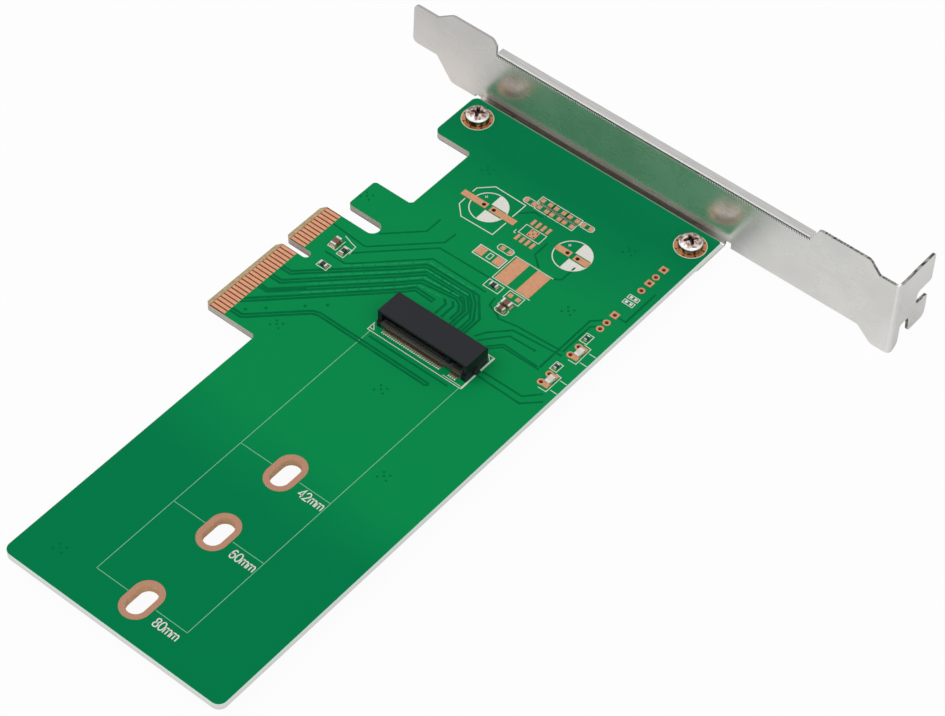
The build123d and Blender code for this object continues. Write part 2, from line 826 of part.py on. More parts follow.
resistor_kinds = (
    (resistors, chip_len, chip_wide, chip_high, chip_end),
    (small_resistors, small_len, small_wide, small_high, small_end),
)
capacitor_kinds = (
    (capacitors, capacitor_len, capacitor_wide, capacitor_high, capacitor_end),
    ((capacitor_small,), chip_len, chip_wide, chip_wide, chip_end),
)
led_kinds = (([(led_x, y, 90) for y in led_y], led_len, led_wide, led_high, led_end),)

chip_resistors = chip_bodies(resistor_kinds)
chip_resistors.part.label = "chip_resistors"
chip_resistor_caps = chip_caps(resistor_kinds)
chip_resistor_caps.part.label = "chip_resistor_caps"
chip_capacitors = chip_bodies(capacitor_kinds)
chip_capacitors.part.label = "chip_capacitors"
chip_capacitor_caps = chip_caps(capacitor_kinds)
chip_capacitor_caps.part.label = "chip_capacitor_caps"
led_lenses = chip_bodies(led_kinds)
led_lenses.part.label = "led_lenses"
led_caps = chip_caps(led_kinds)
led_caps.part.label = "led_caps"

with BuildPart() as chip_pads:
    with BuildSketch(flat):
        for spots, length, wide, high, end in resistor_kinds + capacitor_kinds:
            with Locations(*turned(spots)):
                with GridLocations(length - end, 0, 2, 1):
                    Rectangle(2 * end, wide)
    extrude(amount=contact_t)
chip_pads.part.label = "chip_pads"

os.makedirs("parts", exist_ok=True)
export_step(circuit_board.part, "parts/circuit_board.step")
export_step(edge_contacts_top.part, "parts/edge_contacts_top.step")
export_step(edge_contacts_bottom.part, "parts/edge_contacts_bottom.step")
export_step(stud_ring_42.part, "parts/stud_ring_42.step")
export_step(stud_ring_60.part, "parts/stud_ring_60.step")
export_step(stud_ring_80.part, "parts/stud_ring_80.step")
export_step(screw_pad_lower.part, "parts/screw_pad_lower.step")
export_step(screw_pad_upper.part, "parts/screw_pad_upper.step")
export_step(bracket_screw_lower.part, "parts/bracket_screw_lower.step")
export_step(bracket_screw_upper.part, "parts/bracket_screw_upper.step")
export_step(socket_housing.part, "parts/socket_housing.step")
export_step(socket_contacts_front.part, "parts/socket_contacts_front.step")
export_step(socket_contacts_rear.part, "parts/socket_contacts_rear.step")
export_step(socket_anchor_low.part, "parts/socket_anchor_low.step")
export_step(socket_anchor_high.part, "parts/socket_anchor_high.step")
export_step(bracket.part, "parts/bracket.step")
export_step(capacitor_pads_low.part, "parts/capacitor_pads_low.step")
export_step(capacitor_pads_high.part, "parts/capacitor_pads_high.step")
export_step(header_pads_rear.part, "parts/header_pads_rear.step")
export_step(header_pads_front.part, "parts/header_pads_front.step")
export_step(edge_pads.part, "parts/edge_pads.step")
export_step(choke_pads.part, "parts/choke_pads.step")
export_step(regulator_pads.part, "parts/regulator_pads.step")
export_step(fuse_pads.part, "parts/fuse_pads.step")
export_step(pair_pads.part, "parts/pair_pads.step")
export_step(led_pads.part, "parts/led_pads.step")
export_step(chip_resistors.part, "parts/chip_resistors.step")
export_step(chip_resistor_caps.part, "parts/chip_resistor_caps.step")
export_step(chip_capacitors.part, "parts/chip_capacitors.step")
export_step(chip_capacitor_caps.part, "parts/chip_capacitor_caps.step")
export_step(led_lenses.part, "parts/led_lenses.step")
export_step(led_caps.part, "parts/led_caps.step")
export_step(chip_pads.part, "parts/chip_pads.step")
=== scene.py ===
import bpy
import json
import math
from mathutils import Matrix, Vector


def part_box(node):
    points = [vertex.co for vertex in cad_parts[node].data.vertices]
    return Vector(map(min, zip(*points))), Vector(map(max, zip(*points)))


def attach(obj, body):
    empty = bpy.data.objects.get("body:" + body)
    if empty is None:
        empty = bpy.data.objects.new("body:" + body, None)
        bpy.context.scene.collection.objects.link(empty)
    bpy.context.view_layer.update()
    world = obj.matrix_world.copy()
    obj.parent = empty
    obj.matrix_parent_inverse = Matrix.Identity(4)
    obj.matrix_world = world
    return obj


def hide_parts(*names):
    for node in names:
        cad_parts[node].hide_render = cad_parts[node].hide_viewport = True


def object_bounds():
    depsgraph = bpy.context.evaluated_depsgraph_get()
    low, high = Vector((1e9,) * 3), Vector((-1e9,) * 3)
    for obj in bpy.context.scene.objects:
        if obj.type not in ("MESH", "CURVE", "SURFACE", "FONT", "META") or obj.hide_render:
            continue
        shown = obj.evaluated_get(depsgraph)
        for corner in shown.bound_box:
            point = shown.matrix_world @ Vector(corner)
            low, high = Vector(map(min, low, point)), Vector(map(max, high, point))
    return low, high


# Adapter card: looks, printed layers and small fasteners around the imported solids, in millimetres
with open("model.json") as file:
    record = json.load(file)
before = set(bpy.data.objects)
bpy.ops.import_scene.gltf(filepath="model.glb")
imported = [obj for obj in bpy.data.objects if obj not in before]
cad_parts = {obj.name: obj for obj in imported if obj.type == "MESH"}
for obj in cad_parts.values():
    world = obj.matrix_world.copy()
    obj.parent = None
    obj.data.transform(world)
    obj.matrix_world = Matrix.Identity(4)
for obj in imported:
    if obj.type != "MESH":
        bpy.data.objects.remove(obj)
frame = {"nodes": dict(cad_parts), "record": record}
cad_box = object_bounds()
nodes = frame["nodes"]
MM = 0.001


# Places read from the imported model
def node_box(name):
    """Lowest and highest corner of a node."""
    return [[round(value / MM, 4) for value in corner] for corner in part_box(name)]


def middle(name):
    """Middle of a node, seen from above."""
    low, high = node_box(name)
    return round((low[0] + high[0]) / 2, 4), round((low[1] + high[1]) / 2, 4)


board_low, board_high = node_box("circuit_board")
BACK = board_low[2]                     # solder side
FACE = board_high[2]                    # component side
TAIL = board_low[1]                     # edge beyond the last stud slot
REAR = board_high[1]                    # edge beside the bracket
UPPER = board_high[0]                   # upper long edge
COPPER = node_box("screw_pad_lower")[1][2]      # top of the bare copper
SCREWS = {name: middle("screw_pad_" + name) for name in ("lower", "upper")}
SOCKET_X = middle("socket_housing")[0]
SOCKET_FRONT = node_box("socket_housing")[0][1]

# Footprints that several layers share
CAPACITORS = ((25.4, 32.95, 3.97), (46.1, 33.5, 4.0))     # middle and ring radius
CAPACITOR_PITCH = 2.5
HEADER_X = UPPER - 4.1
HEADER_PITCH = 2.54
HEADER_PAIRS = (13.35, 17.95, 28.85)    # square pads ahead of the rear edge, a round one beside each
HEADER_LONE = 33.45                     # the round pad that has no square one
LAMPS = (14.5, 5.6)
LAMP_LEAD_X = UPPER - 4.33
LAMP_LEAD_PITCH = 2.54
REGULATOR = (36.62, 32.95)


# Geometry helpers
MITRE_LIMIT = 0.35


def circle(x, y, radius, sides):
    """Points round a circle."""
    turns = [2 * math.pi * i / sides for i in range(sides)]
    return [(x + radius * math.cos(a), y + radius * math.sin(a)) for a in turns]


def shifted(points, offset, closed=False):
    """A path moved sideways by an offset, with mitred corners."""
    path = [Vector(point) for point in points]
    count = len(path)
    moved = []
    for i, point in enumerate(path):
        steps = []
        if i or closed:
            steps.append((point - path[i - 1]).normalized())
        if i + 1 < count or closed:
            steps.append((path[(i + 1) % count] - point).normalized())
        normals = [Vector((-step.y, step.x)) for step in steps]
        mitre = sum(normals, Vector((0, 0))).normalized()
        moved.append(point + mitre * (offset / max(MITRE_LIMIT, mitre.dot(normals[0]))))
    return moved


def add_mesh(name, verts, faces, material, smooth=False):
    mesh = bpy.data.meshes.new(name)
    mesh.from_pydata([(x * MM, y * MM, z * MM) for x, y, z in verts], [], faces)
    mesh.validate()
    mesh.update()
    if smooth:
        mesh.shade_smooth()
    piece = bpy.data.objects.new(name, mesh)
    bpy.context.scene.collection.objects.link(piece)
    piece.data.materials.append(material)
    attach(piece, "root")
    return piece


class Layer:
    """A thin printed or etched layer: closed prisms between two levels, gathered in one mesh."""

    def __init__(self, low, high):
        self.low, self.high = low, high
        self.verts, self.faces = [], []

    def fill(self, outline):
        area = sum(a[0] * b[1] - b[0] * a[1] for a, b in zip(outline, outline[1:] + outline[:1]))
        if area < 0:
            outline = outline[::-1]
        first, count = len(self.verts), len(outline)
        self.verts += [(x, y, level) for level in (self.low, self.high) for x, y in outline]
        self.faces.append(tuple(first + i for i in reversed(range(count))))
        self.faces.append(tuple(first + count + i for i in range(count)))
        for i in range(count):
            j = (i + 1) % count
            self.faces.append((first + i, first + j, first + count + j, first + count + i))

    def box(self, x0, y0, x1, y1):
        self.fill([(x0, y0), (x1, y0), (x1, y1), (x0, y1)])

    def disc(self, x, y, radius, sides):
        self.fill(circle(x, y, radius, sides))

    def line(self, points, width, closed=False):
        left = shifted(points, width / 2, closed)
        right = shifted(points, -width / 2, closed)
        first, count = len(self.verts), len(left)
        for a, b in zip(left, right):
            self.verts += [(a.x, a.y, self.low), (b.x, b.y, self.low)]
            self.verts += [(b.x, b.y, self.high), (a.x, a.y, self.high)]
        for i in range(count if closed else count - 1):
            here, after = first + 4 * i, first + 4 * ((i + 1) % count)
            for k in range(4):
                n = (k + 1) % 4
                self.faces.append((here + k, after + k, after + n, here + n))
        if not closed:
            last = first + 4 * (count - 1)
            self.faces.append((first + 3, first + 2, first + 1, first))
            self.faces.append((last, last + 1, last + 2, last + 3))

    def ring(self, x, y, radius, width, sides=36):
        self.line(circle(x, y, radius, sides), width, True)

    def outline(self, x0, y0, x1, y1, width):
        self.line([(x0, y0), (x1, y0), (x1, y1), (x0, y1)], width, True)

    def dashes(self, points, width, dash, gap):
        path = [Vector(point) for point in points]
        for a, b in zip(path, path[1:]):
            count = max(1, round((b - a).length / (dash + gap)))
            step = (b - a) / count
            for i in range(count):
                start = a + step * i
                self.line([start, start + step * (dash / (dash + gap))], width)

    def spin(self, x, y, profile, sides=20):
        """A closed ring: a closed profile of (radius, level) turned round an upright axis."""
        first, count = len(self.verts), len(profile)
        for i in range(sides):
            a = 2 * math.pi * i / sides
            self.verts += [(x + r * math.cos(a), y + r * math.sin(a), z) for r, z in profile]
        for i in range(sides):
            here, after = first + i * count, first + (i + 1) % sides * count
            for k in range(count):
                n = (k + 1) % count
                self.faces.append((here + k, after + k, after + n, here + n))

    def make(self, name, material, smooth=False):
        add_mesh(name, self.verts, self.faces, material, smooth)


# Material helpers
def colour(text):
    """The linear colour of an sRGB hex value."""
    parts = [int(text[i:i + 2], 16) / 255 for i in (0, 2, 4)]
    return tuple(c / 12.92 if c <= 0.04045 else ((c + 0.055) / 1.055) ** 2.4 for c in parts) + (1.0,)


class Paint:
    """A node material with the few nodes that these surfaces use. Colours are sRGB hex values."""

    def __init__(self, name, base, rough=0.5, metal=0.0, specular=0.5):
        self.mat = bpy.data.materials.new(name)
        self.mat.use_nodes = True
        self.nodes = self.mat.node_tree.nodes
        self.links = self.mat.node_tree.links
        self.shader = next(n for n in self.nodes if n.type == "BSDF_PRINCIPLED")
        self.plug(base, self.shader.inputs["Base Color"])
        self.plug(rough, self.shader.inputs["Roughness"])
        self.plug(metal, self.shader.inputs["Metallic"])
        self.plug(specular, self.shader.inputs["Specular IOR Level"])
        self.place = self.nodes.new("ShaderNodeTexCoord").outputs["Object"]
        self.bumps = None

    def plug(self, value, socket):
        """Link a node's output to a socket, or set the socket to a number or a hex colour."""
        if isinstance(value, bpy.types.NodeSocket):
            self.links.new(value, socket)
        elif isinstance(value, str):
            socket.default_value = colour(value)
        else:
            socket.default_value = value

    def math(self, operation, a, b=0.0):
        node = self.nodes.new("ShaderNodeMath")
        node.operation = operation
        self.plug(a, node.inputs[0])
        self.plug(b, node.inputs[1])
        return node.outputs[0]

    def span(self, value, low, high, to_low=0.0, to_high=1.0):
        """A value's place between two levels, held within them and moved to two others."""
        node = self.nodes.new("ShaderNodeMapRange")
        sockets = ("Value", "From Min", "From Max", "To Min", "To Max")
        for socket, item in zip(sockets, (value, low, high, to_low, to_high)):
            self.plug(item, node.inputs[socket])
        return node.outputs["Result"]

    def fade(self, value, low, high, to_low=0.0, to_high=1.0):
        """A length's place between two others in millimetres."""
        return self.span(value, low * MM, high * MM, to_low, to_high)

    def axis(self, name):
        """A coordinate of the surface, in metres."""
        split = self.nodes.new("ShaderNodeSeparateXYZ")
        self.links.new(self.place, split.inputs[0])
        return split.outputs[name]

    def facing(self, name):
        """How far the surface faces along an axis, from 0 to 1."""
        split = self.nodes.new("ShaderNodeSeparateXYZ")
        self.links.new(self.nodes.new("ShaderNodeNewGeometry").outputs["Normal"], split.inputs[0])
        return self.math("ABSOLUTE", split.outputs[name])

    def turned_to(self, name, share):
        """1 where the surface faces along an axis by more than a share."""
        return self.math("GREATER_THAN", self.facing(name), share)

    def turned_from(self, name, share):
        """1 where the surface faces along an axis by less than a share."""
        return self.math("LESS_THAN", self.facing(name), share)

    def above(self, value, limit):
        """1 where a length passes a limit in millimetres."""
        return self.math("GREATER_THAN", value, limit * MM)

    def below(self, value, limit):
        """1 where a length is under a limit in millimetres."""
        return self.math("LESS_THAN", value, limit * MM)

    def between(self, value, low, high):
        """1 where a length lies between two limits in millimetres."""
        return self.both(self.above(value, low), self.below(value, high))

    def both(self, first, *others):
        """The product of masks."""
        for other in others:
            first = self.math("MULTIPLY", first, other)
        return first

    def either(self, a, b):
        """The greater of two masks."""
        return self.math("MAXIMUM", a, b)

    def inverse(self, mask):
        """What a mask leaves free."""
        return self.math("SUBTRACT", 1.0, mask)

    def noise(self, size, detail=3.0, stretch=(1, 1, 1)):
        """Noise with features of about the given size, longer along an axis by its stretch."""
        scale = self.nodes.new("ShaderNodeMapping")
        scale.inputs["Scale"].default_value = [1 / MM / size / s for s in stretch]
        self.links.new(self.place, scale.inputs["Vector"])
        node = self.nodes.new("ShaderNodeTexNoise")
        node.inputs["Scale"].default_value = 1.0
        node.inputs["Detail"].default_value = detail
        self.links.new(scale.outputs[0], node.inputs["Vector"])
        return node.outputs["Fac"]

    def mix(self, factor, a, b):
        node = self.nodes.new("ShaderNodeMix")
        node.data_type = "RGBA"
        self.plug(factor, node.inputs[0])
        self.plug(a, node.inputs[6])
        self.plug(b, node.inputs[7])
        return node.outputs[2]

    def mottle(self, grain, low, high, dark, light):
        """Two tones that take turns as a noise passes between two levels."""
        return self.mix(self.span(grain, low, high), dark, light)

    def base(self, value):
        self.plug(value, self.shader.inputs["Base Color"])

    def rough(self, value):
        self.plug(value, self.shader.inputs["Roughness"])

    def bump(self, height, strength, distance=0.02):
        node = self.nodes.new("ShaderNodeBump")
        node.inputs["Strength"].default_value = strength
        node.inputs["Distance"].default_value = distance * MM
        self.links.new(height, node.inputs["Height"])
        if self.bumps is not None:
            self.links.new(self.bumps, node.inputs["Normal"])
        self.bumps = node.outputs[0]
        self.links.new(self.bumps, self.shader.inputs["Normal"])


def plain_paint(name, light, dark, size, rough, metal=0.0, specular=0.5, bump=0.1):
    """A plain surface of two near tones, with grain of the given size."""
    paint = Paint(name, light, rough, metal, specular)
    grain = paint.noise(size, 4)
    paint.base(paint.mottle(grain, 0.35, 0.65, dark, light))
    paint.rough(paint.span(grain, 0.3, 0.7, rough + 0.05, rough - 0.05))
    paint.bump(grain, bump)
    return paint.mat


# Solder mask over laminate: green faces, bare cut edges and bevel, bare strip between the contacts
MASK_START = 4.85       # the contacts' inner ends
TONGUE_STOP = 12.3      # upper side of the contact tongue
REAR_EDGE_GLINT = 0.16         # painted highlight: pale strip of the face along the rear edge, where its chamfer catches the light
DARK_RIM = -0.62        # the cut edge is darker below this level
PALE_UNDER = -0.15      # the pale sides are warmer below this one
PALE_UPPER = UPPER - 3.5        # cut edges beyond these two are paler
PALE_TAIL = TAIL + 9.4
DEEP_TAIL = (-50, -34)  # the green deepens towards both ends of the board, over these stretches
DEEP_REAR = (26, 48)
PATCHES = 4             # shift of those stretches from patch to patch


def cut_edge(paint):
    """Sawn laminate, with fine plies and a dark lower rim. Paler along the upper side and the tail."""
    level = paint.axis("Z")
    plies = paint.noise(0.13, 1, (40, 40, 1))
    cut = paint.mottle(plies, 0.35, 0.65, "BDB4AA", "E0DBD2")
    cut = paint.mix(paint.below(level, DARK_RIM), cut, "8F7F73")
    pale = paint.mix(paint.below(level, PALE_UNDER), "F2FFF9", "F6F3F0")
    upper = paint.above(paint.axis("X"), PALE_UPPER)
    tail = paint.below(paint.axis("Y"), PALE_TAIL)
    return paint.mix(paint.either(upper, tail), cut, pale)


def board_paint():
    paint = Paint("board_mask", "079753", 0.3, 0.0, 0.03)
    patch = paint.span(paint.noise(22, 2), 0.3, 0.7)
    x, y = paint.axis("X"), paint.axis("Y")
    along = paint.math("ADD", y, paint.math("MULTIPLY", patch, PATCHES * MM))
    green = paint.mix(paint.fade(along, *DEEP_TAIL), "008650", "089753")
    green = paint.mix(paint.fade(along, *DEEP_REAR), green, "008550")
    bevel = paint.mottle(paint.noise(0.35, 3, (4, 1, 1)), 0.3, 0.7, "B39A72", "D6C29B")
    bare = paint.mix(paint.noise(0.3), "6E3A26", "8A5236")
    tongue = paint.both(paint.below(x, MASK_START), paint.below(y, TONGUE_STOP))
    face = paint.mix(tongue, green, bare)
    # Painted highlight: a pale strip of the face along the rear edge
    face = paint.mix(paint.above(y, REAR - REAR_EDGE_GLINT), face, "9DAE9A")
    flat = paint.turned_to("Z", 0.985)
    upright = paint.turned_from("Z", 0.5)
    paint.base(paint.mix(flat, paint.mix(upright, bevel, cut_edge(paint)), face))
    paint.rough(paint.span(flat, 0, 1, 0.75, 0.3))
    paint.bump(paint.noise(1.6, 2), 0.12, 0.05)
    paint.bump(paint.noise(0.5, 2, (1, 1, 3)), 0.08, 0.03)
    return paint.mat


def copper_paint(name, light, dark, rough=0.42):
    """Bare copper: fine grain with clean light spots."""
    paint = Paint(name, light, rough, 0.55)
    grain = paint.noise(0.22, 4)
    spots = paint.span(paint.noise(0.9), 0.35, 0.7)
    paint.base(paint.mix(spots, paint.mottle(grain, 0.3, 0.7, dark, light), light))
    paint.rough(paint.span(grain, 0.3, 0.7, rough + 0.12, rough - 0.06))
    paint.bump(grain, 0.25, 0.01)
    return paint.mat


def ring_paint():
    """Eyelets of the stud slots: brown rims, brighter walls."""
    paint = Paint("stud_ring_copper", "C89478", 0.45, 0.2, 0.4)
    grain = paint.noise(0.22, 4)
    rim = paint.mottle(grain, 0.3, 0.7, "B98468", "CB957A")
    wall = paint.mottle(grain, 0.3, 0.7, "F4BE8E", "FFDCB4")
    paint.base(paint.mix(paint.turned_from("Z", 0.5), rim, wall))
    paint.bump(grain, 0.2, 0.01)
    return paint.mat


# Bracket: satin plated sheet, cut edges darkened partly by painted reflection, painted reflection and
# highlights along the fold under the flange, painted shade along the plate's foot
bracket_high = node_box("bracket")[1]
SHEET = 0.6
PLATE = REAR + 1.2                      # inner face of the plate
PLATE_BACK = PLATE + SHEET
FLANGE_START = 7.35
FLANGE_STOP = bracket_high[0] - 20.8
FLANGE_FACE = bracket_high[2] - 3.27
FOLD_ROUND = 0.2
FOLD = FLANGE_FACE - FOLD_ROUND         # where the plate starts to bend into the flange
TAB_FOLD = bracket_high[0] - 1.02
LIGHTER = (20, 70)      # the plate gets lighter along this stretch
CORNER_WIDE = 6         # warm lower left corner
CORNER_HIGH = (11, 2)
SHADE_BAND = 0.9              # painted shade: a dark band along the plate's foot, for the shaded space under the board that the plate mirrors
SHADE_BAND_START = (3, 8)     # it sets in and fades out along these stretches
SHADE_BAND_STOP = (60, 66)
FOLD_DASH_PITCH = 0.6             # pitch of the dark and pale dashes along the fold, a painted reflection
FOLD_DASH_LEAN = 0.6        # their slope
FOLD_DASH_REACH = 0.6             # how far they reach under the fold
FOLD_DASH_TOP = 0.14
FAINT = (38, 58)        # they are faint along this stretch
DARK_ROUND_TOP = 0.17        # the painted dark band over the round ends this far above the fold


def plate_tone(paint, cloud):
    """Light sheet, darker to the left, with a warm lower left corner and a band of painted shade along its
    foot.
    """
    x, y, z = paint.axis("X"), paint.axis("Y"), paint.axis("Z")
    left = paint.mix(cloud, "DBD8D5", "E6E3E0")
    right = paint.mix(cloud, "E9E8E5", "F2F1EE")
    tone = paint.mix(paint.fade(x, *LIGHTER), left, right)
    corner = paint.both(paint.fade(x, CORNER_WIDE, 0.0), paint.fade(z, *CORNER_HIGH))
    # Painted shade along the plate's foot, where the shaded space under the board is mirrored
    foot_shade = paint.both(paint.below(z, SHADE_BAND), paint.below(y, PLATE + 0.1))
    foot_shade = paint.both(foot_shade, paint.fade(x, *SHADE_BAND_STOP, 0.8, 0.0), paint.fade(x, *SHADE_BAND_START))
    tone = paint.mix(corner, tone, "F2ECE7")
    return paint.mix(foot_shade, tone, "8C7D75")


def edge_tone(paint, tone, flange):
    """Sheared edges of the plate and the tab, their dark tone partly a painted reflection, and a painted
    highlight where the tab is folded.
    """
    x, y, z = paint.axis("X"), paint.axis("Y"), paint.axis("Z")
    in_plate = paint.both(paint.between(y, PLATE - 0.02, PLATE_BACK + 0.02), paint.below(x, TAB_FOLD))
    off_flange = paint.inverse(paint.both(flange, paint.above(z, FOLD - 0.5)))
    plate_edge = paint.both(paint.turned_from("Y", 0.4), in_plate, off_flange)
    in_tab = paint.both(paint.above(y, PLATE_BACK + 0.5), paint.above(x, TAB_FOLD))
    tab_edge = paint.both(paint.turned_from("X", 0.4), in_tab)
    # Painted highlight just past the tab's fold
    tab_fold_glint = paint.both(paint.below(y, PLATE + 1), paint.between(x, TAB_FOLD + 0.25, TAB_FOLD + 0.7))
    tone = paint.mix(tab_fold_glint, tone, "FBFAF8")
    # The edges' dark tone is partly the cut's own grain, partly a painted reflection of dark surroundings
    hatch = paint.mottle(paint.noise(0.3, 2, (1, 5, 1)), 0.42, 0.58, "353331", "A9A7A4")
    hatch = paint.mix(paint.below(x, FLANGE_START), hatch, "A9A7A5")
    return paint.mix(paint.either(plate_edge, tab_edge), tone, hatch)


def fold_tone(paint, tone, flange):
    """Painted reflection along the fold: dark and pale dashes on the plate, a dark band over the round, and
    a painted highlight on the round behind it.
    """
    x, y, z = paint.axis("X"), paint.axis("Y"), paint.axis("Z")
    front = paint.both(paint.between(x, FLANGE_START, FLANGE_STOP), paint.below(y, PLATE + 0.3))
    lean = paint.math("ADD", x, paint.math("MULTIPLY", z, FOLD_DASH_LEAN))
    wave = paint.math("SINE", paint.math("MULTIPLY", lean, 2 * math.pi / (FOLD_DASH_PITCH * MM)))
    stripes = paint.math("GREATER_THAN", wave, 0.0)
    faint = paint.math("MULTIPLY", paint.between(x, *FAINT), 0.7)
    # Painted reflection: dark and pale dashes on the plate just under the fold
    fold_dashes = paint.both(front, paint.between(z, FOLD - FOLD_DASH_REACH, FOLD - FOLD_DASH_TOP), paint.inverse(faint))
    tone = paint.mix(fold_dashes, tone, paint.mix(stripes, "4A4F4A", "FBFCFA"))
    # Painted reflection: a dark band over the round of the fold
    dark_round = paint.both(front, paint.between(z, FOLD - FOLD_DASH_TOP, FOLD + DARK_ROUND_TOP))
    tone = paint.mix(paint.math("MULTIPLY", dark_round, 0.92), tone, paint.mix(stripes, "2A2A28", "60605C"))
    # Painted highlight on the round between plate and flange
    round_glint = paint.both(flange, paint.above(z, FOLD), paint.between(y, PLATE + 0.18, PLATE + 0.45))
    return paint.mix(round_glint, tone, "DBDAD8"), fold_dashes


def steel_paint():
    paint = Paint("bracket_steel", "DEDDDA", 0.26, 0.85)
    cloud = paint.span(paint.noise(9), 0.3, 0.7)
    streak = paint.noise(0.12, 3, (40, 1, 1))
    # Upward faces take a greyer tone of their own: painted shade by facing, over the sheet's own brushed
    # streaks
    grey = paint.mottle(streak, 0.4, 0.65, "BAB9B8", "CBCAC8")
    along_flange = paint.between(paint.axis("X"), FLANGE_START - 0.1, FLANGE_STOP + 0.1)
    flange = paint.both(along_flange, paint.below(paint.axis("Z"), FLANGE_FACE + 0.1))
    tone = paint.mix(paint.turned_to("Z", 0.9), plate_tone(paint, cloud), grey)
    tone = edge_tone(paint, tone, flange)
    tone, fold_dashes = fold_tone(paint, tone, flange)
    paint.base(tone)
    # The painted dashes under the fold are made less metallic, so that their pale part shows
    metal = paint.math("SUBTRACT", 0.85, paint.math("MULTIPLY", fold_dashes, 0.8))
    paint.plug(metal, paint.shader.inputs["Metallic"])
    satin = paint.span(cloud, 0, 1, 0.23, 0.30)
    paint.rough(paint.math("ADD", satin, paint.span(streak, 0.3, 0.7, -0.01, 0.02)))
    paint.bump(paint.noise(7, 1), 0.03, 0.03)
    return paint.mat


# Socket: black housing and its sprung contacts
TAIL_BEND = -5.25       # the front tails lie flat ahead of this
TAIL_LEVEL = 1.02       # higher than this the contacts are tan
LIP_TOP = 2.37
LIP_DEPTH = 1.3         # lit part of the mouth behind the front face, painted light grey
LIP_REACH = 9.9         # and to each side of the middle


def contact_paint():
    """Sprung contacts: tan where they rise, tinned where their tails lie on the board."""
    paint = Paint("socket_gold", "C8A678", 0.3, 0.9)
    grain = paint.noise(0.3, 4)
    tan = paint.mottle(grain, 0.35, 0.65, "9C784F", "C6A072")
    tin = paint.mottle(grain, 0.35, 0.65, "E6E4DE", "FBFAF6")
    under_lip = paint.between(paint.axis("Y"), TAIL_BEND, 0.0)
    risen = paint.above(paint.axis("Z"), TAIL_LEVEL)
    paint.base(paint.mix(paint.either(under_lip, risen), tin, tan))
    paint.rough(paint.span(grain, 0.3, 0.7, 0.36, 0.26))
    paint.bump(grain, 0.1)
    return paint.mat


def socket_paint():
    """Black moulding, with a painted light grey on the lip and the mouth's floor, where the light from above
    falls.
    """
    paint = Paint("socket_plastic", "14161E", 0.4, 0.0, 0.26)
    grain = paint.noise(0.25, 4)
    black = paint.mottle(grain, 0.35, 0.65, "101219", "151822")
    across = paint.math("ABSOLUTE", paint.math("SUBTRACT", paint.axis("X"), SOCKET_X * MM))
    low = paint.below(paint.axis("Z"), LIP_TOP)
    ahead = paint.below(paint.axis("Y"), SOCKET_FRONT + LIP_DEPTH)
    # Painted light on the lip and the mouth's floor
    lit_lip = paint.both(low, ahead, paint.below(across, LIP_REACH))
    paint.base(paint.mix(lit_lip, black, "4C4C49"))
    paint.rough(paint.span(grain, 0.3, 0.7, 0.45, 0.36))
    paint.bump(grain, 0.1)
    return paint.mat


# Pan screws
HEAD_RADIUS = 2.55
HEAD_HEIGHT = 2.1
HEAD_RIM = 0.95         # height of the head's straight side
DOME_POWER = 2.4
SHANK_RADIUS = 1.45
SHANK_LENGTH = 4.0
SHANK_POINT = 0.4       # chamfer at the shank's end
RECESS_REACH = 1.5      # each wing of the cross, from the middle
RECESS_HALF = 0.52      # half width of a wing at the middle
RECESS_TAPER = 0.13
RECESS_SLOPE = 2.6
RECESS_DEPTH = 0.9
RIM_GLINT_RADII = (2.12, 2.3)      # painted highlight: the rim is bright between these radii and beyond
RECESS_SHADE = (1.25, 1.75)      # painted shade: the recess darkens between these heights over the pad


def screw_paint(name, x, y):
    """Bright head, with a painted highlight on its rim and painted shade on its side and in its recess."""
    paint = Paint(name, "E4DEDA", 0.2, 0.9)
    across = paint.math("SUBTRACT", paint.axis("X"), x * MM)
    along = paint.math("SUBTRACT", paint.axis("Y"), y * MM)
    square = paint.math("MULTIPLY", across, across)
    square = paint.math("ADD", square, paint.math("MULTIPLY", along, along))
    radius = paint.math("SQRT", square)
    spots = paint.span(paint.noise(0.7, 2), 0.42, 0.58)
    tone = paint.mix(spots, "8A726A", "DCCBC5")
    # Painted highlight on the rim, brightest on the near side
    rim_glint = paint.fade(paint.math("SUBTRACT", across, along), -2, 1.5, 0.3, 1.0)
    rim_glint = paint.both(rim_glint, paint.fade(radius, *RIM_GLINT_RADII))
    tone = paint.mix(rim_glint, tone, "F6F4F2")
    # Painted shade: the head's side takes a darker mottle
    side = paint.mottle(paint.noise(0.9, 1, (1, 1, 2)), 0.45, 0.6, "4A3328", "B9A092")
    tone = paint.mix(paint.span(paint.facing("Z"), 0.25, 0.45), side, tone)
    # Painted shade in the cross recess
    sunk = paint.fade(paint.axis("Z"), COPPER + RECESS_SHADE[0], COPPER + RECESS_SHADE[1], 1, 0)
    deep = paint.both(paint.below(radius, RECESS_REACH + 0.05), sunk)
    paint.base(paint.mix(deep, tone, "3A2C28"))
    paint.rough(paint.span(spots, 0, 1, 0.22, 0.12))
    paint.bump(paint.noise(0.6, 2), 0.15, 0.03)
    return paint.mat


def head_level(radius, angle):
    """Height of the head's top: a dome with a cross recess."""
    along = abs(radius * math.cos(angle))
    across = abs(radius * math.sin(angle))
    wings = (
        min(RECESS_REACH - along, RECESS_HALF - RECESS_TAPER * along - across),
        min(RECESS_REACH - across, RECESS_HALF - RECESS_TAPER * across - along),
    )
    rise = math.sqrt(max(0.0, 1 - (radius / HEAD_RADIUS) ** DOME_POWER))
    dome = COPPER + HEAD_RIM + (HEAD_HEIGHT - HEAD_RIM) * rise
    return dome - min(RECESS_DEPTH, max(0.0, max(wings) * RECESS_SLOPE))


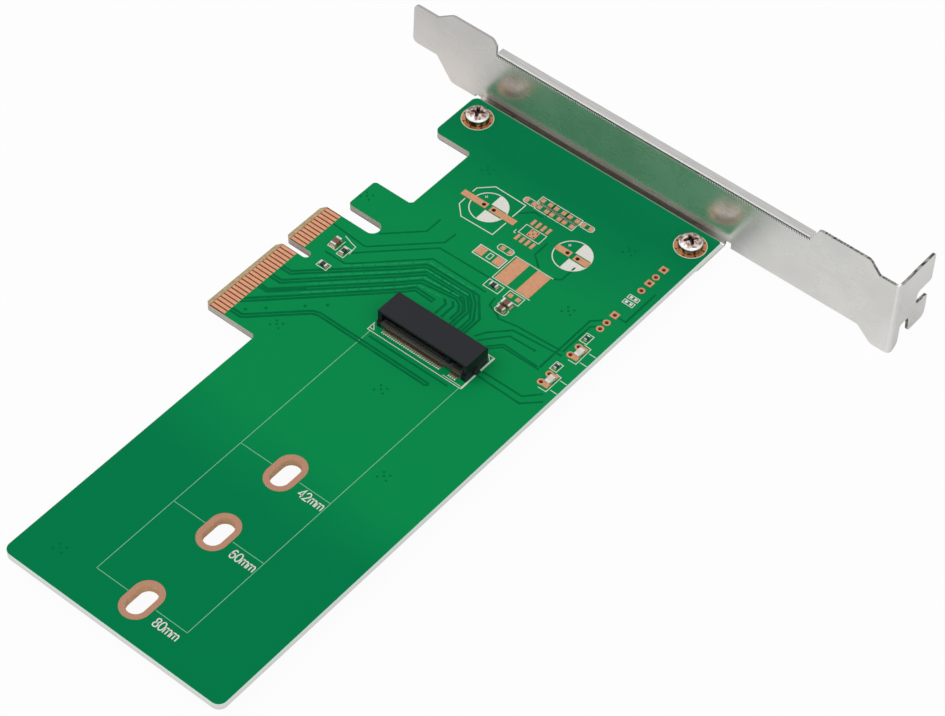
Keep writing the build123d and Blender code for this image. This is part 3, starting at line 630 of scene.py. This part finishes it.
def pan_screw(name, x, y, turn, node):
    """A domed head and a plain shank, as rings of points from the middle of the head to the shank's end."""
    steps, rings = 120, 44
    low = COPPER - SHANK_LENGTH
    verts, faces = [], []
    for k in range(rings):
        r = HEAD_RADIUS * (k + 1) / rings
        for i in range(steps):
            a = 2 * math.pi * i / steps
            verts.append((x + r * math.cos(a), y + r * math.sin(a), head_level(r, a - turn)))
    shank = [(HEAD_RADIUS, COPPER), (SHANK_RADIUS, COPPER)]
    shank += [(SHANK_RADIUS, low + SHANK_POINT), (SHANK_RADIUS - SHANK_POINT, low)]
    for r, level in shank:
        verts += [(px, py, level) for px, py in circle(x, y, r, steps)]
    last = (rings + len(shank) - 1) * steps
    for first in range(0, last, steps):
        for i in range(steps):
            j = (i + 1) % steps
            faces.append((first + i, first + steps + i, first + steps + j, first + j))
    top_middle = len(verts)
    verts += [(x, y, COPPER + HEAD_HEIGHT - RECESS_DEPTH), (x, y, low)]
    for i in range(steps):
        j = (i + 1) % steps
        faces += [(top_middle, i, j), (top_middle + 1, last + j, last + i)]
    piece = add_mesh(name, verts, faces, screw_paint(name, x, y), True)
    piece.data.set_sharp_from_angle(angle=0.7)
    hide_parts(node)


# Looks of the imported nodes, by material slot, and of those that differ from their slot
paints = {
    "board_mask": board_paint(),
    "plated_copper": copper_paint("plated_copper", "DDA27C", "C98A64"),
    "edge_gold": copper_paint("edge_gold", "E6A884", "CF8C68", 0.38),
    "bracket_steel": steel_paint(),
    "screw_steel": plain_paint("screw_steel", "D8D2CE", "B9B1AD", 1.2, 0.16, 1.0),
    "socket_plastic": socket_paint(),
    "socket_gold": contact_paint(),
    "tinned_metal": plain_paint("tinned_metal", "E8E8E8", "BDBDBD", 0.3, 0.25, 0.9),
    "chip_black": plain_paint("chip_black", "1B1A1C", "121113", 0.3, 0.35),
    "chip_tan": plain_paint("chip_tan", "8A5A44", "6E4433", 0.3, 0.4),
    "lens_pale": plain_paint("lens_pale", "EFEBDD", "DDD8C6", 0.3, 0.25),
}
own_paints = {
    # Tin anchors at the socket's end painted dark teal: painted shade, matching the shaded end face
    "socket_anchor": plain_paint("shaded_tin", "33403D", "27312F", 0.3, 0.45, 0.3),
    "screw_pad": copper_paint("screw_pad_copper", "CE9058", "A96C3A"),
    "stud_ring": ring_paint(),
}
slot_of = {row["node"]: row["material_slot"] for row in frame["record"]["subparts"]}
for name, node in nodes.items():
    own = [look for start, look in own_paints.items() if name.startswith(start)]
    for place in node.material_slots:
        place.material = own[0] if own else paints[slot_of[name]]

# Looks of the thin layers
silk_paint = plain_paint("print_white", "FCFAF2", "F0EEE5", 0.25, 0.6, 0.0, 0.2, 0.15)
fine_paint = plain_paint("print_fine", "A0DEBA", "92D2AC", 0.25, 0.6, 0.0, 0.2, 0.15)
trace_paint = plain_paint("mask_over_trace", "007A44", "007040", 2.0, 0.3, 0.0, 0.03)
pale_paint = plain_paint("mask_over_bare", "1FA863", "18A05C", 1.0, 0.3, 0.0, 0.03)
via_paint = plain_paint("mask_over_via", "007D47", "007340", 0.5, 0.35, 0.0, 0.03)
laminate_paint = plain_paint("bare_laminate", "94734C", "6E5436", 0.3, 0.6, 0.0, 0.2)
land_paint = plain_paint("land_tin", "FFFFFA", "E4E2DC", 0.2, 0.35, 0.25)
hole_paint = plain_paint("plated_hole", "5A2A1E", "3A1610", 0.2, 0.5, 0.3)
red_hole_paint = plain_paint("header_hole", "B24A2E", "8A3420", 0.2, 0.5, 0.2)
# Dark discs for the small holes: painted shade
pad_via_paint = plain_paint("pad_via", "4A2012", "2E130A", 0.3, 0.5, 0.2)

# Traces under the mask
MASK_SKIN = 0.012
LEVEL_STEP = 0.0008     # each path a little higher than the last, so that none share a plane
TRACE = 0.4
WIDE_TRACE = 0.5
TRACK = 0.48            # each of the two tracks in a pair
TRACK_OFFSET = 0.37     # a track's middle from the pair's
SINGLE = [
    [(13.6, 13.3), (20.3, 20.0), (20.3, 24.2)],
    [(5.0, 9.55), (13.4, 9.0), (14.1, 9.2), (24.9, 20.0), (25.1, 23.1)],
    [(12.9, 5.8), (14.7, 7.8), (25.1, 18.2), (36.4, 18.45), (37.4, 18.45)],
    [(8.7, 2.97), (13.7, 3.0), (14.7, 3.8), (26.0, 15.15), (39.3, 15.1)],
    [(29.6, -8.1), (49.0, -8.0)],
    [(41.6, 15.2), (42.0, 13.0), (44.7, 12.0), (45.5, 11.4), (49.4, 12.2), (59.6, 12.85)],
    [(44.8, 5.0), (46.1, 7.3), (49.5, 10.9), (60.3, 11.9)],
    [(46.0, 4.6), (50.0, 9.35), (55.8, 9.6)],
    [(48.2, 4.4), (50.4, 6.95), (58.8, 6.8)],
    [(48.8, 4.2), (50.7, 6.3), (59.5, 6.4)],
    [(51.6, -0.9), (61.2, -0.8), (63.9, 2.2)],
    [(51.6, -2.3), (61.9, -2.5), (65.1, 0.7)],
    [(5.2, -16.2), (7.6, -13.8), (13.3, -8.3)],
    [(4.7, -12.3), (6.9, -12.1), (12.4, -6.6)],
    [(30.9, 35.6), (33.0, 37.8), (35.2, 37.8)],
    [(40.3, 33.0), (40.3, 29.0), (43.0, 26.8)],
    [(48.4, 31.4), (48.4, 27.2), (46.9, 26.2)],
    [(62.9, 26.6), (64.6, 26.6), (64.6, 36.0)],
    [(60.9, 24.1), (59.2, 22.4), (59.2, 6.9)],
    [(60.9, 22.0), (60.1, 21.2), (60.1, 12.9)],
]
# Middle lines of the pairs that run from the contacts to the socket's rear row
PAIRS = [
    [(5.0, -5.6), (7.4, -5.6), (22.8, 9.3), (26.0, 12.7), (26.9, 13.0), (37.3, 13.1), (39.5, 11.2),
     (41.8, 7.8), (41.8, 3.4)],
    [(5.0, -8.6), (7.5, -8.6), (24.0, 7.7), (27.5, 11.4), (37.3, 11.5), (39.7, 8.9), (39.7, 3.4)],
    [(5.0, -12.0), (7.1, -12.0), (25.4, 6.1), (28.2, 9.2), (36.2, 10.3), (37.7, 9.6), (38.8, 8.0),
     (38.9, 5.2)],
    [(4.8, -17.3), (8.3, -13.8), (20.2, -1.8), (26.6, 4.7), (28.5, 6.9), (33.2, 6.8)],
    [(5.0, -20.1), (7.6, -20.1), (8.4, -19.5), (17.4, -10.6), (18.8, -10.1), (45.9, -10.2)],
]
BEHIND_SOCKET = [
    [(36.9, 13.7), (38.9, 13.5), (42.9, 8.9), (42.9, 4.2)],
    [(36.0, 9.1), (36.9, 8.2), (36.9, 4.6)],
    [(34.4, 8.6), (35.4, 7.7), (35.4, 4.6)],
]
pair_tracks = [shifted(path, side * TRACK_OFFSET) for path in PAIRS for side in (-1, 1)]
traces = Layer(FACE, FACE + MASK_SKIN)
for paths, width in ((SINGLE, TRACE), (pair_tracks, TRACK), (BEHIND_SOCKET, WIDE_TRACE)):
    for path in paths:
        traces.line(path, width)
        traces.high += LEVEL_STEP
traces.make("board_traces", trace_paint)

# Paler dashes where no copper lies between the wide runs
DASH = 1.9
DASH_GAP = 0.4
CLEARANCES = [
    [(13.6, 2.0), (22.0, 10.0), (25.9, 14.0), (37.6, 14.1)],
    [(12.0, -2.8), (23.4, 8.4), (26.7, 12.1), (37.6, 12.3)],
    [(11.9, -5.8), (24.1, 6.2), (27.8, 10.2), (36.6, 10.9)],
    [(12.4, -8.3), (25.3, 4.7), (28.2, 8.0), (34.2, 8.5)],
]
gaps = Layer(FACE, traces.high)
for path in CLEARANCES:
    gaps.dashes(path, TRACE, DASH, DASH_GAP)
    gaps.high += LEVEL_STEP
gaps.make("board_clearances", pale_paint)

# Footprint of the socket's front row: bare laminate between the contacts, a tinned land under each tail
PIN_PITCH = 0.5
ROW_REACH = 9.0         # first contact of each part of the row, from the socket's middle
LONG_ROW = [SOCKET_X - ROW_REACH + PIN_PITCH * i for i in range(29)]
SHORT_ROW = [SOCKET_X + ROW_REACH - PIN_PITCH * i for i in range(4)]
BARE_SKIN = 0.008
WINDOW_SIDE = 0.28      # bare laminate beyond the end contacts
WINDOW_BACK = SOCKET_FRONT + 0.9
LAND_SKIN = 0.02
LAND_HALF = 0.15
LAND_LENGTH = 0.75
window = Layer(FACE, FACE + BARE_SKIN)
lands = Layer(FACE, FACE + LAND_SKIN)
for row in (LONG_ROW, SHORT_ROW):
    window.box(min(row) - WINDOW_SIDE, TAIL_BEND - 0.1, max(row) + WINDOW_SIDE, WINDOW_BACK)
    for x in row:
        lands.box(x - LAND_HALF, TAIL_BEND - LAND_LENGTH, x + LAND_HALF, TAIL_BEND)
window.make("socket_window", laminate_paint)
lands.make("socket_lands", land_paint)

# Covered vias, in groups of five and one by one
GROUP_VIA = 0.22
SINGLE_VIA = 0.32
VIA_SIDES = 14
GROUP_SPREAD = ((0, 0), (-0.9, -0.9), (0.85, 0.85), (0.95, -0.6), (-0.6, 0.75))
VIA_GROUPS = ((5.1, 19.6), (18.7, 40.8), (54.4, 21.7), (53.7, 41.7), (14.3, -17.3), (40.0, -16.7),
              (54.1, -32.2), (20.8, -82.5))
SINGLE_VIAS = ((7.2, -18.4), (10.0, -15.6), (15.3, -10.3), (18.4, -7.3), (45.9, -10.2), (60.3, 11.9),
               (55.8, 9.6))
vias = Layer(FACE, gaps.high)
for x, y in VIA_GROUPS:
    for dx, dy in GROUP_SPREAD:
        vias.disc(x + dx, y + dy, GROUP_VIA, VIA_SIDES)
for x, y in SINGLE_VIAS:
    vias.disc(x, y, SINGLE_VIA, VIA_SIDES)
vias.make("board_vias", via_paint)

# Printed lines, boxes and plain marks
SKIN = 0.03
FINE_SKIN = 0.026
FILL_SKIN = 0.024
FINE = 0.11
THIN = 0.15
LINE = 0.2
THICK = 0.3
silk = Layer(FACE, FACE + SKIN)
module_lines = Layer(FACE, FACE + FINE_SKIN)

# Outline of the longest module, and a line across it at each stud slot
MODULE_SIDES = (28.9, 50.95)
MODULE_FRONT = -6.9
SEAT_LINES = (-43.4, -61.4, -81.4)
SLOT_SIDES = (36.7, 43.4)


def print_module():
    left, right = MODULE_SIDES
    for x in MODULE_SIDES:
        module_lines.line([(x, MODULE_FRONT), (x, SEAT_LINES[-1])], FINE)
    for y in SEAT_LINES:
        module_lines.line([(left, y), (SLOT_SIDES[0], y)], FINE)
        module_lines.line([(SLOT_SIDES[1], y), (right, y)], FINE)


def print_socket():
    """Corner lines in front, a bar at the upper end and a mark at the first contact."""
    left = 28.2
    right = 51.3
    front = MODULE_FRONT
    back = 3.1
    silk.line([(left, front + 2.2), (left, front), (right + 0.05, front)], THIN)
    silk.line([(46.5, front + 0.45), (50.9, front + 0.45)], 0.12)
    silk.line([(right, front), (right, back + 0.1)], 0.36)
    silk.line([(right, back), (right - 1.4, back), (right - 0.1, back - 1.2)], THIN)
    silk.line([(left, front + 1.9), (left + 1.1, front + 0.6), (left, front + 0.5)], THIN)


CAPACITOR_RING = 0.22
CAPACITOR_GAP = 0.95    # the cross line stops this far from the middle
FILL_GAP = 1.0          # and the filled half this far
FILL_STEPS = 14
PLUS_HALF = 0.35
PLUS_SIGNS = ((23.2, 34.9), (43.9, 35.4))
CAPACITOR_OUTLINE = (
    [(20.25, 31.8), (20.32, 29.9), (22.77, 27.5), (30.6, 27.7), (30.65, 31.9)],
    [(20.2, 34.2), (20.2, 35.5), (22.85, 38.2), (30.6, 38.1), (30.55, 34.0)],
)


def print_capacitors():
    """Rings with a cross line, a filled half and a plus sign, and a clipped square round the first."""
    for x, y, radius in CAPACITORS:
        silk.ring(x, y, radius, CAPACITOR_RING)
        silk.line([(x, y - radius), (x, y - CAPACITOR_GAP)], LINE)
        silk.line([(x, y + CAPACITOR_GAP), (x, y + radius)], LINE)
        low = math.asin(FILL_GAP / radius)
        turns = [low + (math.pi / 2 - low) * i / FILL_STEPS for i in range(FILL_STEPS + 1)]
        silk.high = FACE + FILL_SKIN
        for side in (-1, 1):
            arc = [(x + radius * math.cos(a), y + side * radius * math.sin(a)) for a in turns]
            silk.fill([(x, y + side * FILL_GAP)] + arc)
        silk.high = FACE + SKIN
    for path in CAPACITOR_OUTLINE:
        silk.line(path, LINE)
    for x, y in PLUS_SIGNS:
        silk.line([(x - PLUS_HALF, y), (x + PLUS_HALF, y)], THIN)
        silk.line([(x, y - PLUS_HALF), (x, y + PLUS_HALF)], THIN)


# Boxes and open lines of the other footprints, each box by two corners
REGULATOR_BOX = (34.0, 31.6, 39.05, 34.25)
REGULATOR_MARK = [(33.3, 31.9), (33.3, 31.0), (33.8, 31.0)]
CHOKE_SIDES = [(47.1, 26.25), (37.75, 26.25), (37.75, 18.95), (47.1, 18.95)]
FUSE_BOX = (30.6, 21.5, 37.2, 24.2)
FUSE_BAR = (33.5, 22.2, 34.4, 23.6)
PAIR_BOXES = ((37.66, 16.2, 41.3, 18.3), (42.6, 16.3, 46.3, 18.5))
CLIPPED_BOX = [(43.7, 12.6), (45.6, 12.6), (45.95, 12.95), (45.95, 13.9), (45.6, 14.2)]
CLIPPED_BOX_LEFT = [(43.2, 14.0), (43.2, 12.95), (43.7, 12.6)]
CLIPPED_BOX_TICK = [(43.0, 14.2), (43.0, 16.0)]


def clipped_box(x, y, half_x, half_y, corner_x, corner_y):
    """A closed box round a middle, with its corners cut off."""
    inner_x, inner_y = half_x - corner_x, half_y - corner_y
    right = [(inner_x, -half_y), (half_x, -inner_y), (half_x, inner_y), (inner_x, half_y)]
    left = [(-u, v) for u, v in reversed(right)]
    silk.line([(x + u, y + v) for u, v in right + left], THIN, True)


def print_supply():
    """Regulator, choke, fuse and the small parts beside them."""
    silk.outline(*REGULATOR_BOX, THIN)
    silk.line(REGULATOR_MARK, THIN)
    silk.line(CHOKE_SIDES, THIN)
    silk.outline(*FUSE_BOX, LINE)
    silk.outline(*FUSE_BAR, THIN)
    clipped_box(35.2, 26.25, 1.8, 0.8, 0.5, 0.35)
    for box in PAIR_BOXES:
        silk.outline(*box, THIN)
    for path in (CLIPPED_BOX, CLIPPED_BOX_LEFT, CLIPPED_BOX_TICK):
        silk.line(path, THIN)


REAR_ROW = (33.38, 41.4)        # first of four pad pairs, the last in a clipped box
REAR_STEP = 3.38
FRONT_ROW = (30.73, 39.5)       # first of four pad pairs, the first in a clipped box
FRONT_STEP = 3.15
BOX_HALF = 0.85


def print_pair_rows():
    """A box round each pad pair, and a thick line between the two rows."""
    for start, step, boxed in ((REAR_ROW, REAR_STEP, (0, 1, 2)), (FRONT_ROW, FRONT_STEP, (1, 2, 3))):
        for i in boxed:
            x, y = start[0] + step * i, start[1]
            silk.outline(x - step / 2, y - BOX_HALF, x + step / 2, y + BOX_HALF, THIN)
    silk.line([(32.3, 40.45), (41.8, 40.45)], THICK)
    for x, y in (FRONT_ROW, (REAR_ROW[0] + 3 * REAR_STEP, REAR_ROW[1])):
        clipped_box(x, y, 1.55, 0.75, 0.45, 0.35)


CONTACT_CHIP_BOXES = ((10.8, 3.9, 12.5, 6.5), (9.7, -0.8, 12.2, 0.8))
EDGE_CHIP_BOXES = ((60.8, 30.3, 63.2, 31.35), (60.8, 31.9, 63.2, 32.9), (60.7, 17.2, 62.4, 19.6),
                   (60.8, 8.0, 62.4, 10.2))
LAMP_SIDES = (
    [(62.2, 16.9), (63.85, 16.75), (63.95, 12.0), (62.1, 11.95)],
    [(62.7, 7.7), (63.95, 7.55), (63.9, 3.0), (62.0, 2.95)],
)
LAMP_TICKS = (15.7, 12.85, 6.85, 3.85)


def print_chips():
    """Chips by the contacts, then chips and lamps along the upper edge."""
    silk.line([(9.1, 8.6), (11.4, 7.9), (12.5, 7.7), (12.8, 5.4)], THIN)
    for box in CONTACT_CHIP_BOXES:
        silk.outline(*box, THIN)
    silk.line([(8.0, 7.4), (8.0, 4.5), (10.1, 4.5), (10.1, 7.4)], THIN)
    for box in EDGE_CHIP_BOXES:
        silk.outline(*box, THIN)
    for path in LAMP_SIDES:
        silk.line(path, THIN)
    for y in LAMP_TICKS:
        silk.line([(64.3, y), (65.9, y)], THIN)


# Length marks: each sign's width and strokes, as shares of the height
GLYPHS = {
    "0": (0.62, [[(0.31, 1), (0.1, 0.9), (0, 0.65), (0, 0.35), (0.1, 0.1), (0.31, 0), (0.52, 0.1),
                  (0.62, 0.35), (0.62, 0.65), (0.52, 0.9), (0.31, 1)]]),
    "2": (0.62, [[(0.02, 0.72), (0.08, 0.9), (0.3, 1), (0.52, 0.9), (0.6, 0.7), (0.5, 0.5), (0, 0),
                  (0.62, 0)]]),
    "4": (0.66, [[(0.5, 0), (0.5, 1), (0, 0.32), (0.66, 0.32)]]),
    "6": (0.62, [[(0.56, 0.86), (0.4, 1), (0.22, 0.97), (0.05, 0.75), (0, 0.4), (0.08, 0.1), (0.31, 0),
                  (0.54, 0.1), (0.62, 0.32), (0.54, 0.54), (0.31, 0.62), (0.1, 0.52), (0.01, 0.35)]]),
    "8": (0.62, [[(0.31, 0.54), (0.1, 0.64), (0.05, 0.8), (0.12, 0.94), (0.31, 1), (0.5, 0.94), (0.57, 0.8),
                  (0.52, 0.64), (0.31, 0.54), (0.08, 0.42), (0, 0.25), (0.08, 0.07), (0.31, 0), (0.54, 0.07),
                  (0.62, 0.25), (0.54, 0.42), (0.31, 0.54)]]),
    "m": (0.86, [[(0, 0), (0, 0.68)], [(0, 0.5), (0.12, 0.66), (0.3, 0.68), (0.42, 0.55), (0.42, 0)],
                 [(0.42, 0.5), (0.55, 0.66), (0.73, 0.68), (0.86, 0.55), (0.86, 0)]]),
}
MARKS = (("42mm", -43.95), ("60mm", -62.3), ("80mm", -82.2))     # sign and its upper edge
MARK_LEFT = 44.9
MARK_HEIGHT = 2.0
MARK_WIDTH = MARK_HEIGHT * 0.78
MARK_GAP = 0.2
MARK_LINE = 0.24


def print_length_marks():
    for mark, top in MARKS:
        x = MARK_LEFT
        for sign in mark:
            wide, strokes = GLYPHS[sign]
            for stroke in strokes:
                silk.line([(x + u * MARK_WIDTH, top + (v - 1) * MARK_HEIGHT) for u, v in stroke], MARK_LINE)
            x += (wide + MARK_GAP) * MARK_WIDTH


SCREW_RING = 3.34
SCREW_RING_LINE = 0.14
print_module()
print_socket()
print_capacitors()
print_supply()
print_pair_rows()
print_chips()
for x, y in SCREWS.values():
    silk.ring(x, y, SCREW_RING, SCREW_RING_LINE, 48)
print_length_marks()
silk.make("print_white", silk_paint)
module_lines.make("print_fine", fine_paint)

# Lead holes: plated barrels through the board, with rings underneath
HOLE = 0.34
HOLE_OUTER = 0.365
HOLE_RIM = 0.44
RING_BORE = 0.4
RING_RADIUS = 0.8
RING_SKIN = 0.05
PROUD = 0.015           # rim above the pads
capacitor_leads = [(x + side * CAPACITOR_PITCH / 2, y) for x, y, _ in CAPACITORS for side in (-1, 1)]
header_rows = [REAR - ahead - beside for ahead in HEADER_PAIRS for beside in (0, HEADER_PITCH)]
header_leads = [(HEADER_X, y) for y in header_rows + [REAR - HEADER_LONE]]
header_leads += [(LAMP_LEAD_X, y + side * LAMP_LEAD_PITCH / 2) for y in LAMPS for side in (-1, 1)]
BARREL = [
    (HOLE, BACK - RING_SKIN - 0.005),
    (HOLE, COPPER + PROUD),
    (HOLE_RIM, COPPER + PROUD),
    (HOLE_RIM, COPPER - 0.01),
    (HOLE_OUTER, COPPER - 0.02),
    (HOLE_OUTER, BACK - RING_SKIN - 0.005),
]
RING = [
    (RING_BORE, BACK),
    (RING_BORE, BACK - RING_SKIN),
    (RING_RADIUS, BACK - RING_SKIN),
    (RING_RADIUS, BACK),
]
under = Layer(BACK, BACK)
for name, leads, look in (
    ("lead_barrels", capacitor_leads, hole_paint),
    ("header_barrels", header_leads, red_hole_paint),
):
    barrels = Layer(BACK, COPPER)
    for x, y in leads:
        barrels.spin(x, y, BARREL)
        under.spin(x, y, RING, 24)
    barrels.make(name, look, True)
under.make("lead_rings_under", paints["plated_copper"])

# Small plated holes in the screw pads and in the regulator's middle pad, drawn as dark discs: painted shade
# where the holes go down
PAD_VIAS = 8            # round each screw
PAD_VIA = 0.22
PAD_VIA_TURN = 10       # degrees from the board's X to the first
PAD_VIA_REACH = 2.93
SLUG_VIA = 0.17
SLUG_VIA_REACH = 0.62
SPOT_SIDES = 12
spots = Layer(COPPER, COPPER + BARE_SKIN)
for x, y in SCREWS.values():
    for i in range(PAD_VIAS):
        a = math.radians(360 / PAD_VIAS * i + PAD_VIA_TURN)
        spots.disc(x + PAD_VIA_REACH * math.cos(a), y + PAD_VIA_REACH * math.sin(a), PAD_VIA, SPOT_SIDES)
for u, v in ((0, 0), (-1, -1), (1, -1), (-1, 1), (1, 1)):
    x, y = REGULATOR[0] + u * SLUG_VIA_REACH, REGULATOR[1] + v * SLUG_VIA_REACH
    spots.disc(x, y, SLUG_VIA, SPOT_SIDES)
spots.make("pad_vias", pad_via_paint)

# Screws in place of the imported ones, each with its own turn of the cross, in radians
pan_screw("screw_lower", *SCREWS["lower"], 0.5, "bracket_screw_lower")
pan_screw("screw_upper", *SCREWS["upper"], 0.9, "bracket_screw_upper")


# Floor, backdrop and light
def largest_share(tree, shares):
    """The greatest share among the kinds of ray that reach a surface."""
    rays = tree.nodes.new("ShaderNodeLightPath")
    last = None
    for kind, part in shares:
        share = tree.nodes.new("ShaderNodeMath")
        share.operation = "MULTIPLY"
        share.inputs[1].default_value = part
        tree.links.new(rays.outputs[kind], share.inputs[0])
        if last is None:
            last = share.outputs[0]
            continue
        top = tree.nodes.new("ShaderNodeMath")
        top.operation = "MAXIMUM"
        tree.links.new(last, top.inputs[0])
        tree.links.new(share.outputs[0], top.inputs[1])
        last = top.outputs[0]
    return last


def blend_shaders(tree, factor, first, second, output):
    """Two shaders mixed by a factor, on an output node of the given kind."""
    out = tree.nodes.new(output)
    mix = tree.nodes.new("ShaderNodeMixShader")
    tree.links.new(factor, mix.inputs[0])
    tree.links.new(first.outputs[0], mix.inputs[1])
    tree.links.new(second.outputs[0], mix.inputs[2])
    tree.links.new(mix.outputs[0], out.inputs[0])


def floor_paint():
    """Near white floor that keeps its shadows and glows where it is seen directly."""
    mat = bpy.data.materials.new("floor_white")
    mat.use_nodes = True
    tree = mat.node_tree
    tree.nodes.clear()
    diffuse = tree.nodes.new("ShaderNodeBsdfDiffuse")
    diffuse.inputs[0].default_value = (0.9, 0.9, 0.9, 1)
    glow = tree.nodes.new("ShaderNodeEmission")
    glow.inputs[0].default_value = (1, 1, 1, 1)
    seen = largest_share(tree, (("Is Camera Ray", 0.95), ("Is Transmission Ray", 0.95)))
    blend_shaders(tree, seen, diffuse, glow, "ShaderNodeOutputMaterial")
    return mat


def world_light():
    """Soft light all round, and plain white where the backdrop itself is seen or mirrored."""
    world = bpy.data.worlds.new("studio")
    bpy.context.scene.world = world
    world.use_nodes = True
    tree = world.node_tree
    tree.nodes.clear()
    backgrounds = []
    for strength in (0.55, 1.0):
        background = tree.nodes.new("ShaderNodeBackground")
        background.inputs[0].default_value = (1, 1, 1, 1)
        background.inputs[1].default_value = strength
        backgrounds.append(background)
    direct = ("Is Camera Ray", "Is Glossy Ray", "Is Transmission Ray")
    seen = largest_share(tree, [(kind, 1.0) for kind in direct])
    blend_shaders(tree, seen, *backgrounds, "ShaderNodeOutputWorld")


LAMP_AIM = Vector((0.04, 0.0, 0.0))


def lamp(name, place, size, power):
    """A square lamp, in metres and watts."""
    data = bpy.data.lights.new(name, "AREA")
    data.shape = "SQUARE"
    data.size = size
    data.energy = power
    obj = bpy.data.objects.new(name, data)
    obj.location = place
    obj.rotation_mode = "QUATERNION"
    obj.rotation_quaternion = (Vector(place) - LAMP_AIM).to_track_quat("Z", "Y")
    bpy.context.scene.collection.objects.link(obj)


FLOOR_SIZE = 6
FLOOR_GAP = 0.0001
bpy.ops.mesh.primitive_plane_add(size=FLOOR_SIZE, location=(0, 0, cad_box[0].z - FLOOR_GAP))
floor = bpy.context.object
floor.name = "floor"
floor.data.materials.append(floor_paint())
world_light()
lamp("key", (-0.6, -0.5, 1.1), 0.9, 4.0)
lamp("fill", (0.9, -0.4, 0.9), 0.9, 1.6)

# Camera, fitted to the photograph, in metres and radians
CAMERA_LENS = 119.034
CAMERA_PLACE = (0.288348, -0.304338, 0.447460)
CAMERA_TURN = (0.7151073849, -0.0213755560, 0.6920794987)
lens = bpy.data.cameras.new("camera")
lens.sensor_width = 36
lens.lens = CAMERA_LENS
lens.clip_start = 0.01
lens.clip_end = 20
camera = bpy.data.objects.new("camera", lens)
camera.location = CAMERA_PLACE
camera.rotation_euler = CAMERA_TURN
bpy.context.scene.collection.objects.link(camera)
bpy.context.scene.camera = camera

bpy.context.scene.view_settings.view_transform = "Standard"
